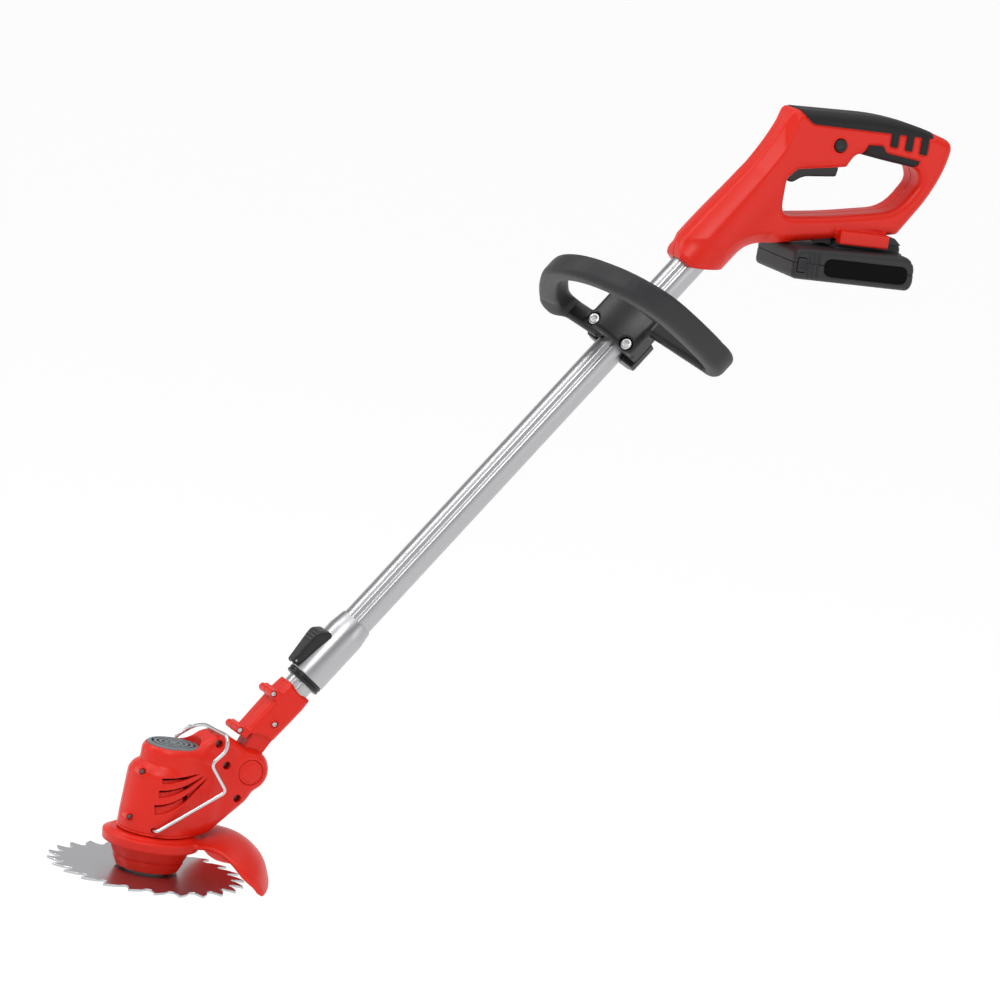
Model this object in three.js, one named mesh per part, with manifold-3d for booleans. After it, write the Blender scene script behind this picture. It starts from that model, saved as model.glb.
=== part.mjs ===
// Cordless telescopic brush cutter with a circular blade.
// Millimetres, +Z up. The cutting blade is level. +X runs from the blade back to the operator,
// and Y = 0 is the plane that the two-part housings are split on.
// The origin is the middle of the rear grip, where the operator's right hand holds the machine.
import * as THREE from 'three';
import { mergeVertices } from 'three/addons/utils/BufferGeometryUtils.js';
import Module from 'manifold-3d';

const wasm = await Module();
wasm.setup();

// ---------------------------------------------------------------- driving dimensions
// Lengths below are in the cutter frame: X and Z are counted from the blade's centre.
const gripX = 490;
const gripZ = 608;
const gap = 0.3;
const splitGap = 0.15;

const bladeRadius = 75;
const bladeTeeth = 24;
const bladeThickness = 1.8;
const boreRadius = 10;

const guardDroop = 0.0035;

const pivotX = 64.3;
const pivotZ = 83.7;
const cheekSide = 17;
const tongueSide = 8.8;
const cheekRadius = 17;
const tongueRadius = 16.6;

const poleAngle = THREE.MathUtils.degToRad(36.7);
const poleX = 54.56;
const poleZ = 90.95;
const pivotOffset = 12.14;
const grooveAngle = THREE.MathUtils.degToRad(234);
const grooveDepth = 1.2;
const outerTubeRadius = 12;
const innerTubeRadius = 10.6;
const tubeWall = 1;
const sleeveStart = 82;
const sleeveEnd = 138;
const neckStart = 506;
const tubeEnd = 590;

const loopStation = 441.5;
const clampStation = 432;
const loopTurn = 36;
const loopOffset = -20;
const loopTop = 128;
const loopSide = 10;
const loopSlope = 0.284;
const baseStep = 11.4;
const baseSlope = 0.075;
const boltStation = -3;

const handleSide = 17.5;
const batterySide = 35;
const batteryFront = 431;
const batteryRear = 535;
const batteryBottom = 502;
const batteryShoulder = 528.5;

const red = { color: 0xdf3a2b, roughness: 0.42, metalness: 0 };
const black = { color: 0x2c2b2c, roughness: 0.6, metalness: 0 };
const darkGrey = { color: 0x414143, roughness: 0.55, metalness: 0 };
const steel = { color: 0xb9babb, roughness: 0.3, metalness: 1 };
const aluminium = { color: 0xc9cacb, roughness: 0.3, metalness: 1 };
const darkSteel = { color: 0x55565a, roughness: 0.5, metalness: 1 };
const copper = { color: 0x9a5a35, roughness: 0.45, metalness: 0.8 };
const cellWrap = { color: 0x3f7fa6, roughness: 0.5, metalness: 0 };

// ---------------------------------------------------------------- solids
function solid(geometry) {
  const bare = geometry.clone();
  bare.deleteAttribute('normal');
  bare.deleteAttribute('uv');
  const merged = mergeVertices(bare, 1e-4);
  const vertProperties = new Float32Array(merged.attributes.position.array);
  const triVerts = new Uint32Array(merged.index.array);
  return new wasm.Manifold(new wasm.Mesh({ numProp: 3, vertProperties, triVerts }));
}

function geometryOf(body) {
  const mesh = body.getMesh();
  const geometry = new THREE.BufferGeometry();
  geometry.setAttribute('position', new THREE.BufferAttribute(mesh.vertProperties, 3));
  geometry.setIndex(new THREE.BufferAttribute(mesh.triVerts, 1));
  geometry.computeVertexNormals();
  return geometry;
}

function join(...bodies) {
  return bodies.reduce((sum, body) => sum.add(body));
}

function cut(body, ...tools) {
  return tools.reduce((rest, tool) => rest.subtract(tool), body);
}

// A closed outline from [x, y, cornerRadius] points. A corner takes less than half of each side.
function outline(points) {
  const shape = new THREE.Shape();
  points.forEach(([x, y, radius = 0], i) => {
    const corner = new THREE.Vector2(x, y);
    const toBefore = new THREE.Vector2(...points.at(i - 1)).sub(corner);
    const toAfter = new THREE.Vector2(...points[(i + 1) % points.length]).sub(corner);
    const reach = Math.min(radius, 0.45 * toBefore.length(), 0.45 * toAfter.length());
    const start = corner.clone().add(toBefore.setLength(reach));
    const end = corner.clone().add(toAfter.setLength(reach));
    if (i === 0) shape.moveTo(start.x, start.y);
    else shape.lineTo(start.x, start.y);
    if (radius > 0) shape.quadraticCurveTo(x, y, end.x, end.y);
  });
  shape.closePath();
  return shape;
}

// An outline in X and Y, from Z = low to Z = high, with its edges rounded by `edge`.
function slab(shape, low, high, edge = 0, edgeSteps = 2, curveSegments = 3) {
  const geometry = new THREE.ExtrudeGeometry(shape, {
    depth: high - low - 2 * edge,
    bevelEnabled: edge > 0,
    bevelThickness: edge,
    bevelSize: edge,
    bevelOffset: -edge,
    bevelSegments: edgeSteps,
    curveSegments,
  });
  geometry.translate(0, 0, low + edge);
  return solid(geometry);
}

// An outline in X and Z, from Y = low to Y = high.
function plate(shape, low, high, edge = 0, edgeSteps = 2, curveSegments = 3) {
  return slab(shape, -high, -low, edge, edgeSteps, curveSegments).rotate([90, 0, 0]);
}

function box(x0, x1, y0, y1, z0, z1) {
  const geometry = new THREE.BoxGeometry(x1 - x0, y1 - y0, z1 - z0);
  geometry.translate((x0 + x1) / 2, (y0 + y1) / 2, (z0 + z1) / 2);
  return solid(geometry);
}

// A solid of revolution about Z through X = x, from [radius, z] points.
function turned(points, segments = 32, x = 0) {
  const profile = points.map(([radius, z]) => new THREE.Vector2(radius, z));
  if (points[0][0] > 0) profile.push(profile[0].clone());
  const geometry = new THREE.LatheGeometry(profile, segments);
  geometry.rotateX(Math.PI / 2);
  geometry.translate(x, 0, 0);
  const body = solid(geometry);
  return body.volume() < 0 ? solid(turnedInsideOut(geometry)) : body;
}

function turnedInsideOut(geometry) {
  const flipped = geometry.clone();
  const index = flipped.index.array;
  for (let i = 0; i < index.length; i += 3) {
    [index[i], index[i + 1]] = [index[i + 1], index[i]];
  }
  return flipped;
}

// A round bar along Y at X = x, Z = z.
function crossBar(x, z, radius, y0, y1, segments = 20) {
  const geometry = new THREE.CylinderGeometry(radius, radius, y1 - y0, segments);
  geometry.translate(x, (y0 + y1) / 2, z);
  return solid(geometry);
}

// A round bar along Z.
function post(x, y, radius, z0, z1, segments = 24) {
  const geometry = new THREE.CylinderGeometry(radius, radius, z1 - z0, segments);
  geometry.rotateX(Math.PI / 2);
  geometry.translate(x, y, (z0 + z1) / 2);
  return solid(geometry);
}

function leftHalf(body) {
  return body.intersect(box(-400, 900, -100, -splitGap, -100, 900));
}

function rightHalf(body) {
  return body.intersect(box(-400, 900, splitGap, 100, -100, 900));
}

const meshes = [];
function node(name, body, look) {
  const mesh = new THREE.Mesh(geometryOf(body), new THREE.MeshStandardMaterial(look));
  mesh.name = name;
  meshes.push(name);
  return mesh;
}

// A pan-head screw along Y, put in from the -Y side. Its head starts at y.
function screw(x, y, z, length, headRadius = 2.6) {
  return join(
    crossBar(x, z, headRadius, y, y + 1.8, 12),
    crossBar(x, z, headRadius * 0.48, y + 1.7, y + length, 8),
  );
}

// ---------------------------------------------------------------- cutter head
function fan(fromDegrees, toDegrees, radius) {
  const points = [[pivotX, pivotZ]];
  for (let i = 0; i <= 6; i += 1) {
    const angle = THREE.MathUtils.degToRad(fromDegrees + ((toDegrees - fromDegrees) * i) / 6);
    points.push([pivotX + radius * Math.cos(angle), pivotZ + radius * Math.sin(angle)]);
  }
  return outline(points);
}

const wireHinge = { x: -9, z: 36.5 };
const housingScrews = [[-21.2, 78.5], [-25.6, 43.4], [44.6, 87.7], [57.2, 63], [36.1, 103.5]];
const frontTowers = 2;
const towerReach = 16;

function screwSeat(i) {
  return i < frontTowers ? -towerReach + 0.6 : -12;
}

// A disc across the head whose rims are rounded off.
function knuckleDisc() {
  return turned([
    [0, -cheekSide], [12.8, -cheekSide], [15.2, -14.5], [cheekRadius, -9.5],
    [cheekRadius, 9.5], [15.2, 14.5], [12.8, cheekSide], [0, cheekSide],
  ], 40).rotate([90, 0, 0]).translate([pivotX, 0, pivotZ]);
}

function motorHousing() {
  const barrel = turned([[0, 31], [28.3, 31], [28, 42], [26.6, 77], [24, 80], [0, 80]], 40, 1);
  const drum = turned([[0, 78], [24, 78], [23.4, 94], [21, 97.5], [0, 97.5]], 40, 6);
  const flank = plate(outline([
    [4, 33], [30, 31.5, 8], [42, 44, 9], [42, 80, 9], [34, 97, 9], [4, 97],
  ]), -21.5, 21.5, 6);
  const arm = plate(outline([
    [14, 34], [36, 31.5, 8], [71, 65.5, 8], [66, 96, 8], [50, 107, 6], [41, 110, 6],
    [30, 108, 8], [18, 97, 6], [14, 97],
  ]), -cheekSide, cheekSide, 6);
  const knuckle = knuckleDisc();
  const towers = housingScrews.slice(0, frontTowers).map(([x, z]) => crossBar(
    x, z, 3, -towerReach, towerReach - 3, 12,
  ));
  const shell = join(barrel, drum, flank, arm, knuckle, ...towers);
  const motorBay = join(
    turned([[0, 20], [24.6, 20], [24.2, 77.4], [0, 77.4]], 32, 1),
    turned([[0, 76], [20.5, 76], [20, 92.5], [0, 92.5]], 32, 6),
  );
  const ventPocket = turned([[0, 94.5], [20.4, 94.5], [20.4, 120], [0, 120]], 32, 6);
  const airHole = turned([[0, 90], [15, 90], [15, 96], [0, 96]], 24, 6);
  const tongueSlot = join(
    crossBar(pivotX, pivotZ, tongueRadius + 0.5, -9.2, 9.2, 32),
    plate(fan(-8, 124, 60), -9.2, 9.2),
  );
  const pinBore = crossBar(pivotX, pivotZ, 4.3, -14, 13.5);
  const buttonPocket = crossBar(pivotX, pivotZ, 9.9, -30, -11.6, 28);
  const screwWells = housingScrews.map(([x, z], i) => join(
    crossBar(x, z, i < frontTowers ? 2.3 : 3, -40, screwSeat(i) + 2.1, 12),
    crossBar(x, z, 1.5, screwSeat(i) + 1, 8.5, 8),
  ));
  return cut(shell, motorBay, ventPocket, airHole, tongueSlot, pinBore, buttonPocket,
    ...screwWells, ...wireHoles(), ...sideVents());
}

function wireHoles() {
  return [-31.5, 21.5].map((y) => crossBar(wireHinge.x, wireHinge.z, 1.9, y, y + 10, 12));
}

// Three tapering air slots on each side, fanned towards the knuckle.
function sideVents() {
  const slots = [
    [[-8, 77.5], [21, 81], [20, 79], [-7.5, 73]],
    [[-9, 68], [10, 71], [25, 79], [10, 67.5], [-8, 62]],
    [[-11, 57], [8, 60], [26, 76.5], [10, 56], [-9.5, 48.5]],
  ];
  return slots.flatMap((points) => [
    plate(outline(points), -40, -17),
    plate(outline(points), 17, 40),
  ]);
}

function topVent() {
  const cap = turned([[0, 94.9], [20, 94.9], [20, 97.6], [18.5, 98.6], [0, 98.6]], 32, 6);
  const slots = [-12, -6, 0, 6, 12].map((y) => {
    const reach = Math.sqrt(15 * 15 - y * y);
    return box(6 - reach, 6 + reach, y - 1.4, y + 1.4, 90, 110);
  });
  return cut(cap, ...slots);
}

function motorCan() {
  return turned([[5, 34], [17, 34], [17, 73.6], [15.6, 73.6], [15.6, 36], [5, 36]], 32);
}

function motorEndBell() {
  return turned([[4.6, 74], [17, 74], [17, 76], [9, 78.6], [9, 84], [4.6, 84]], 28);
}

// The guard ring under the motor housing, with the curved debris guard behind the blade.
function debrisGuard() {
  const ring = turned([
    [22, 23.5], [33, 23.5], [33, 20.6], [36.8, 20.6], [37.2, 27.6], [34, 28.4], [31.5, 30.7],
    [22, 30.7],
  ], 48);
  const crest = new THREE.SplineCurve([
    [34.2, 29.6], [52, 34.8], [70, 33], [82, 26], [89.5, 16], [92.3, 9], [92, 4.5],
  ].map(([r, z]) => new THREE.Vector2(r, z))).getPoints(14);
  const inner = crest.map((p, i) => {
    const t = i / (crest.length - 1);
    return [p.x - 3 * t - 0.4, p.y - 3.2 * (1 - t) - 0.6];
  }).reverse();
  const skin = turned([...crest.map((p) => [p.x, p.y]), ...inner], 72);
  const sector = slab(outline([
    [20, -24], [56, -60, 12], [76, -52, 8], [120, -46], [120, 46], [76, 52, 8], [56, 60, 12],
    [20, 24],
  ]), -40, 60);
  return join(ring, skin.intersect(sector).warp((vertex) => {
    vertex[2] -= guardDroop * vertex[1] ** 2;
  }));
}

function spindleShroud() {
  return turned([
    [11.3, 16.4], [24.5, 16.4], [25.6, 12.5], [21, 3], [23.6, 2.4], [26.8, 9.2], [25.9, 10.6],
    [27.4, 11.6], [29.4, 16.6], [30.2, 20.2], [11.3, 20.2],
  ], 44);
}

function spindleBearing() {
  return turned([[4.4, 12.6], [11, 12.6], [11, 19.8], [4.4, 19.8]], 24);
}

function pivotPin() {
  return crossBar(pivotX, pivotZ, 4, -11.2, 13.2, 20);
}

function tiltButton() {
  return join(
    crossBar(pivotX, pivotZ, 9.5, -17.6, -15.2, 28),
    crossBar(pivotX, pivotZ, 7.8, -18, -17.5, 28),
  );
}

function guardWire() {
  const { x: hingeX, z: hingeZ } = wireHinge;
  const near = [[hingeX, hingeZ], [41.3, 71.2], [26, 91.2], [36.8, 102.6]];
  const far = [[25, 101], [18, 95], [41.3, 71.2], [hingeX, hingeZ]];
  const points = [
    [hingeX, -23.8, hingeZ], ...near.map(([x, z]) => [x, -31, z]), [37, -28, 112.6],
    [33.5, 28, 110.6], ...far.map(([x, z]) => [x, 31, z]), [hingeX, 23.8, hingeZ],
  ].map((p) => new THREE.Vector3(...p));
  const path = new THREE.CurvePath();
  const bend = 2.6;
  let start = points[0];
  for (let i = 1; i < points.length - 1; i += 1) {
    const before = points[i].clone().add(points[i - 1].clone().sub(points[i]).setLength(bend));
    const after = points[i].clone().add(points[i + 1].clone().sub(points[i]).setLength(bend));
    path.add(new THREE.LineCurve3(start, before));
    path.add(new THREE.QuadraticBezierCurve3(before, points[i], after));
    start = after;
  }
  path.add(new THREE.LineCurve3(start, points.at(-1)));
  return sweep(path, 1.5, 8, 3);
}

// A round wire along a path of lines and bends: one ring at each end, several in each bend.
function sweep(path, radius, sides, bendSteps) {
  const stations = [path.curves[0].getPoint(0)];
  path.curves.forEach((curve) => {
    const steps = curve.isLineCurve3 ? 1 : bendSteps;
    for (let k = 1; k <= steps; k += 1) stations.push(curve.getPoint(k / steps));
  });
  const line = new THREE.CatmullRomCurve3(stations, false, 'chordal');
  line.getPointAt = (u) => {
    const at = u * (stations.length - 1);
    const i = Math.min(Math.floor(at), stations.length - 2);
    return stations[i].clone().lerp(stations[i + 1], at - i);
  };
  line.getTangentAt = (u) => {
    const i = Math.round(u * (stations.length - 1));
    const before = stations[Math.max(i - 1, 0)];
    const after = stations[Math.min(i + 1, stations.length - 1)];
    return after.clone().sub(before).normalize();
  };
  const ring = new THREE.Shape();
  for (let k = 0; k < sides; k += 1) {
    const angle = (2 * Math.PI * k) / sides;
    const point = [radius * Math.cos(angle), radius * Math.sin(angle)];
    if (k === 0) ring.moveTo(...point);
    else ring.lineTo(...point);
  }
  ring.closePath();
  return solid(new THREE.ExtrudeGeometry(ring, { steps: stations.length - 1, extrudePath: line }));
}

// ---------------------------------------------------------------- spindle and blade
function blade() {
  const shape = new THREE.Shape();
  const pitch = (2 * Math.PI) / bladeTeeth;
  const tooth = [[0, 1], [0.1, 0.992], [0.32, 0.945], [0.6, 0.93], [0.86, 0.872], [1, 0.885]];
  for (let i = 0; i < bladeTeeth; i += 1) {
    tooth.forEach(([turn, reach], k) => {
      const angle = (i + turn) * pitch;
      const point = [reach * bladeRadius * Math.cos(angle), reach * bladeRadius * Math.sin(angle)];
      if (i === 0 && k === 0) shape.moveTo(...point);
      else shape.lineTo(...point);
    });
  }
  shape.closePath();
  const disc = slab(shape, -bladeThickness / 2, bladeThickness / 2);
  return cut(disc, post(0, 0, boreRadius, -5, 5, 32));
}

function spindleShaft() {
  return turned([[0, -14], [3.4, -14], [4, -13], [4, 86], [0, 86]], 20);
}

function rotor() {
  return turned([
    [4.3, 40], [12.5, 40], [14, 44], [14, 64], [12.5, 68], [7, 68], [7, 73.2], [4.3, 73.2],
  ], 24);
}

function upperFlange() {
  return turned([
    [4.3, -0.7], [boreRadius - 0.3, -0.7], [boreRadius - 0.3, 1.2], [17, 1.2], [17, 4], [9, 5],
    [9, 11.5], [4.3, 11.5],
  ], 28);
}

function lowerFlange() {
  return turned([[4.3, -4.6], [13, -4.6], [17, -2.4], [17, -1.2], [4.3, -1.2]], 28);
}

function bladeNut() {
  const hexagon = new THREE.CylinderGeometry(7.5, 7.5, 7, 6);
  hexagon.rotateX(Math.PI / 2);
  hexagon.translate(0, 0, -8.4);
  return cut(solid(hexagon), post(0, 0, 4.3, -20, 0, 16));
}

// ---------------------------------------------------------------- pole (frame along the pole)
// In the pole's frame Z runs up the pole from the foot of the pivot, and -X is the pole's top side.
function grooved(radius) {
  const points = [];
  for (let i = 0; i < 36; i += 1) {
    const angle = grooveAngle + (2 * Math.PI * i) / 36;
    const reach = i === 0 ? radius - grooveDepth : radius;
    points.push(new THREE.Vector2(reach * Math.cos(angle), reach * Math.sin(angle)));
  }
  return points;
}

function groovedTube(outerRadius, innerRadius, low, high) {
  const shape = new THREE.Shape(grooved(outerRadius));
  shape.holes.push(new THREE.Path(grooved(innerRadius).reverse()));
  return slab(shape, low, high);
}

function tubeSleeve() {
  const body = turned([
    [12.3, sleeveStart], [15, sleeveStart], [15, 126], [13, sleeveEnd], [12.3, sleeveEnd],
  ], 36);
  const lug = plate(outline([[-18.6, 83.6, 1.5], [-18.6, 87, 1.5], [-13, 89], [-13, 82.2]]), -2.7, 2.7);
  return cut(join(body, lug), crossBar(-17.4, 85, 1.1, -20, 20, 12),
    post(0, 0, 12.3, 60, 160, 36));
}

// The lever's outer skin covers the sleeve's lug, and it widens towards its free end.
function lockLever() {
  const wedge = plate(outline([
    [-19.9, 81.9, 1.8], [-21.6, 106.5, 2], [-21.6, 112, 2], [-15.8, 117.5, 1], [-9, 117.5], [-9, 86],
    [-15.8, 81.9, 0.8],
  ]), -10, 10, 1.5);
  const plan = slab(outline([[-5.6, 80], [5.6, 80], [10.4, 117], [10.4, 125], [-10.4, 125], [-10.4, 117]]),
    -40, 0).rotate([90, 0, 0]).rotate([0, 0, 90]);
  return cut(wedge.intersect(plan), post(0, 0, 15.4, 60, 160, 40), post(0, 0, 16.6, 60, 85, 40),
    box(-19, -10, -3.1, 3.1, 70, 89.8), crossBar(-17.4, 85, 1.1, -20, 20, 12));
}

function leverPin() {
  return crossBar(-17.4, 85, 0.9, -5, 5, 10);
}

function tubeCollar() {
  return turned([[10.95, 76.4], [14, 76.4], [14.7, 77.4], [14.7, 81.6], [10.95, 81.6]], 36);
}

const stemScrews = [[-15.8, 54.5], [-15.8, 17.5], [1.5, 38.7]];
const stemSide = 12.6;
const sideTowers = 2;

function stemReach(i) {
  return i < sideTowers ? 12.7 : 14;
}

function stemScrewLength(i) {
  return i < sideTowers ? 18 : 2.8;
}

function stem() {
  const body = plate(outline([
    [-11.4, 14], [-12.4, 61, 3], [-11.4, 70], [11.4, 70], [12.4, 61, 3], [11.4, 14], [8, 4],
  ]), -stemSide, stemSide, 4.5);
  const towers = stemScrews.map(([x, z], i) => crossBar(x, z, 3.1, -stemReach(i), 12, 14));
  const webs = stemScrews.slice(0, sideTowers).map(([x, z]) => box(
    x, -8, -stemReach(0), 12, z - 2, z + 4.5,
  ));
  const headDisc = crossBar(pivotOffset, 0, cheekRadius + 1.4, -30, 30, 40);
  const humpRelief = plate(poleFan(42, 130, 29.5), -30, 30);
  const tongue = join(
    crossBar(pivotOffset, 0, tongueRadius, -tongueSide, tongueSide, 32),
    plate(outline([[-1, 4], [-9, 40], [10, 40], [13, 10]]), -tongueSide, tongueSide),
  );
  const socket = post(0, 0, innerTubeRadius + gap, 29.5, 90, 32);
  const wiring = post(0, 0, 6, 12, 32, 16);
  const wells = stemScrews.map(([x, z], i) => join(
    crossBar(x, z, 2.4, -30, 2.6 - stemReach(i), 12),
    crossBar(x, z, 1.4, 1 - stemReach(i), 1 - stemReach(i) + stemScrewLength(i), 8),
  ));
  return cut(join(cut(body, headDisc, humpRelief), ...towers, ...webs, tongue), socket, wiring,
    crossBar(pivotOffset, 0, 4.2, -30, 30, 24), ...wells);
}

// The same kind of fan as the head's, in the pole's frame.
function poleFan(fromDegrees, toDegrees, radius) {
  const points = [[pivotOffset, 0]];
  for (let i = 0; i <= 5; i += 1) {
    const degrees = fromDegrees + ((toDegrees - fromDegrees) * i) / 5 + 36.7;
    const angle = THREE.MathUtils.degToRad(degrees);
    points.push([pivotOffset + radius * Math.cos(angle), radius * Math.sin(angle)]);
  }
  return outline(points);
}

function tubeBush() {
  const shape = new THREE.Shape(grooved(outerTubeRadius - tubeWall - 0.15));
  const body = slab(shape, 380.4, 392);
  return cut(body, post(0, 0, 7.5, 300, 420, 20));
}

// ---------------------------------------------------------------- loop handle
function clampFrame(body) {
  return body.rotate([0, 0, 90 + loopTurn]).translate([0, 0, clampStation]);
}

function smoothStep(value, low, high) {
  return THREE.MathUtils.smoothstep(value, low, high);
}

// The loop leans along the pole: its arch rises evenly from one end to the other, and the two halves
// of its base keep their end's level up to the clamp, where one steps across to the other.
function leanLoop(vertex) {
  const [x, y, z] = vertex;
  const arch = Math.max(smoothStep(y, 22, 47), smoothStep(Math.abs(x), 58, 72));
  const across = THREE.MathUtils.clamp((x - 17) / 13, -1, 1);
  const base = -across * (baseStep + baseSlope * Math.abs(x));
  vertex[2] = z * (0.82 + 0.18 * arch) - arch * loopSlope * x + (1 - arch) * base;
}

function loopHandle() {
  const ring = outline([
    [30, 8], [73, 8, 10], [78, 24, 12], [66, 69, 22], [49, 109, 24], [19, loopTop, 20],
    [-19, loopTop, 20], [-49, 109, 24], [-66, 69, 22], [-77, 28, 12], [-72, 10, 9], [-62, 8], [4, 8],
    [4, 17], [-62, 17, 6], [-62.5, 28, 6], [-53, 62, 18], [-38, 96, 18], [-14, 112, 12],
    [14, 112, 12], [38, 96, 18], [53, 62, 18], [62.5, 28, 6], [62, 17, 6], [30, 17],
  ]);
  const band = slab(ring, -loopSide, loopSide, 3.5, 2).warp(leanLoop)
    .translate([loopOffset, 0, loopStation - clampStation]);
  const saddle = slab(outline([[-24.5, 0.4, 1], [24.5, 0.4, 1], [24.5, 22, 3], [-24.5, 22, 3]]),
    -8, 26, 0);
  const bolts = [-17.5, 17.5].map((x) => boltBar(x, -30, 14.5, 2.8));
  const heads = [-17.5, 17.5].map((x) => boltBar(x, 14.5, 60, 5.2));
  const bore = post(0, 0, outerTubeRadius + gap, -60, 60, 36);
  const capSpace = slab(outline([[-28, 0.3], [-28, -60], [28, -60], [28, 0.3]]), -30, 30);
  return clampFrame(cut(join(band, saddle), bore, capSpace, ...bolts, ...heads));
}

function boltBar(x, y0, y1, radius, segments = 14) {
  return crossBar(x, boltStation, radius, y0, y1, segments);
}

function loopClampCap() {
  const body = slab(outline([
    [-24.5, -0.3], [-24.5, -8, 3], [-14, -17, 6], [14, -17, 6], [24.5, -8, 3], [24.5, -0.3],
  ]), -12, 12, 0);
  const bolts = [-17.5, 17.5].map((x) => boltBar(x, -30, 10, 2.8));
  const nutSeats = [-17.5, 17.5].map((x) => boltBar(x, -30, -8.5, 5.4));
  return clampFrame(cut(body, post(0, 0, outerTubeRadius + gap, -60, 60, 36),
    ...bolts, ...nutSeats));
}

function loopBolt(x) {
  return clampFrame(join(boltBar(x, -13.5, 15.2, 2.4), boltBar(x, 14.9, 19.4, 4.4, 16)));
}

function loopNut(x) {
  return clampFrame(cut(boltBar(x, -12.6, -8.9, 4.6, 6), boltBar(x, -40, 10, 2.7)));
}

// ---------------------------------------------------------------- rear handle (cutter frame)
function poleFrame(body) {
  return body.rotate([0, THREE.MathUtils.radToDeg(poleAngle), 0]).translate([poleX, 0, poleZ]);
}

const trigger = { x: 466, z: 589 };
const lockOff = { x: 461, z: 605.5 };
const handleScrews = [[402, 578], [414, 535], [450, 541.5], [541, 604]];

function handleBody() {
  const shape = outline([
    [352, 521], [378, 557, 14], [400, 588, 10], [412, 609, 10], [420, 628.5], [460, 629.6, 16],
    [495, 630.6, 16], [526, 627, 14], [560, 617.5, 8.5], [556, 596, 9], [546, 573, 12],
    [524, 541.2], [472, 533.2], [426, 525.4, 12], [391, 519, 8], [380, 504],
  ]);
  shape.holes.push(outline([
    [431, 583], [423, 575, 4], [423, 546, 10], [465, 550.5, 10], [520, 560, 12], [536, 584, 8],
    [531, 595, 5], [505, 597.5, 8], [478, 601, 6], [471, 589],
  ]));
  const body = plate(shape, -handleSide, handleSide, 5.5, 3, 3);
  const neck = poleFrame(turned([
    [0, neckStart], [17, neckStart], [20.4, neckStart + 5], [21, neckStart + 40],
    [17, neckStart + 80], [0, neckStart + 84],
  ], 36));
  const foot = join(
    box(471, 513, -25, 25, 531.2, 541.5),
    box(471, 513, -16.5, 16.5, 541, 546),
  );
  return join(body, neck, foot);
}

function gripRegion(grow) {
  const rim = plate(outline([
    [426 - grow, 650], [426 - grow, 626], [435 - grow, 618.8 - grow], [540 + grow, 618.8 - grow],
    [541 + grow, 650],
  ]), -40, 40);
  const fingers = [503, 516, 529].map((x, i) => box(
    x - grow, x + 7 + grow, -40, 40, 609 - 1.5 * i - grow, 625,
  ));
  return join(rim, ...fingers);
}

function gripCore(inset) {
  return plate(outline([
    [415, 590], [418, 626.5 - inset], [460, 629 - inset, 20], [495, 630.3 - inset, 20],
    [526, 626.8 - inset, 16], [557, 617.5 - inset], [545, 590],
  ]), inset - handleSide, handleSide - inset, 5);
}

function palmRegion(grow) {
  return plate(outline([
    [479 - grow, 590], [485 - grow, 609 + grow], [498 + grow, 609 + grow],
    [500 + grow, 604.5 + grow], [531 + grow, 601 + grow], [524, 590],
  ]), -40, 40);
}

function palmCore(inset) {
  return plate(outline([
    [470, 625], [470, 601 + inset], [480, 601 + inset], [505, 598 + inset], [540, 594 + inset],
    [540, 625],
  ]), inset - handleSide, handleSide - inset);
}

function gripOvermould() {
  return cut(handleBody().intersect(gripRegion(0)), gripCore(2.4));
}

function palmOvermould() {
  return cut(handleBody().intersect(palmRegion(0)), palmCore(2.4));
}

function rearHousing() {
  const gripSkin = cut(gripRegion(gap), gripCore(2.4 + gap));
  const palmSkin = cut(palmRegion(gap), palmCore(2.4 + gap));
  const tubeBore = poleFrame(post(0, 0, outerTubeRadius + gap, 480, tubeEnd + 1, 36));
  const neckBay = plate(outline([
    [404, 548], [414, 552], [419, 585], [434, 592], [430, 616], [420, 616], [405, 580],
  ]), -14, 14);
  const switchBay = box(428, 453, -9, 9, 588, 614);
  const triggerBay = plate(outline([
    [422, 560], [424.5, 592], [434, 599], [468.5, 596], [470.8, 580],
  ]), -6.6, 6.6);
  const gripBay = plate(outline([[468, 606], [532, 604], [528, 619], [470, 622]]), -12, 12);
  const baseBay = plate(outline([[412, 531], [470, 541], [512, 548], [508, 556], [416, 543]]),
    -12, 12);
  const terminalBay = box(453, 470.5, -12.4, 12.4, 520, 550);
  const railSlot = join(
    box(465, 530, -21, 21, 534.3, 548),
    box(465, 530, -17, 17, 520, 540),
  );
  const wedge = plate(outline([[440, 528.7], [530, 543.3], [530, 560], [440, 560]]), -30, 30);
  const lockOffBore = crossBar(lockOff.x, lockOff.z, 5.3, -30, -2.6, 24);
  const wells = handleScrews.map(([x, z]) => join(
    crossBar(x, z, 3, 12.2, 30, 14),
    crossBar(x, z, 1.5, -10, 13, 8),
  ));
  return cut(handleBody(), gripSkin, palmSkin, tubeBore, neckBay, switchBay, triggerBay, gripBay,
    baseBay, terminalBay, cut(railSlot, wedge), lockOffBore, ...wells);
}

function triggerLever() {
  const body = plate(outline([
    [469, 587, 1], [468, 580, 1.5], [440, 577.3, 4], [432, 571.5, 2], [426.5, 573, 1.5],
    [428.5, 584, 2], [436, 592], [462, 594, 1],
  ]), -6.2, 6.2, 1);
  return cut(body, crossBar(trigger.x, trigger.z, 1.3, -10, 10, 10));
}

function lockOffButton() {
  return join(
    crossBar(lockOff.x, lockOff.z, 5, -18.6, -7, 24),
    crossBar(lockOff.x, lockOff.z, 4, -19.4, -18.5, 24),
  );
}

function triggerSwitch() {
  return join(box(430, 451, -8.5, 8.5, 600, 612), box(434, 438, -3, 3, 597, 601));
}

function terminalBlock() {
  return cut(
    box(455, 469.8, -12, 12, 529.4, 545),
    ...[-7, 0, 7].map((y) => box(462, 475, y - 1.6, y + 1.6, 525, 540)),
  );
}

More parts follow.
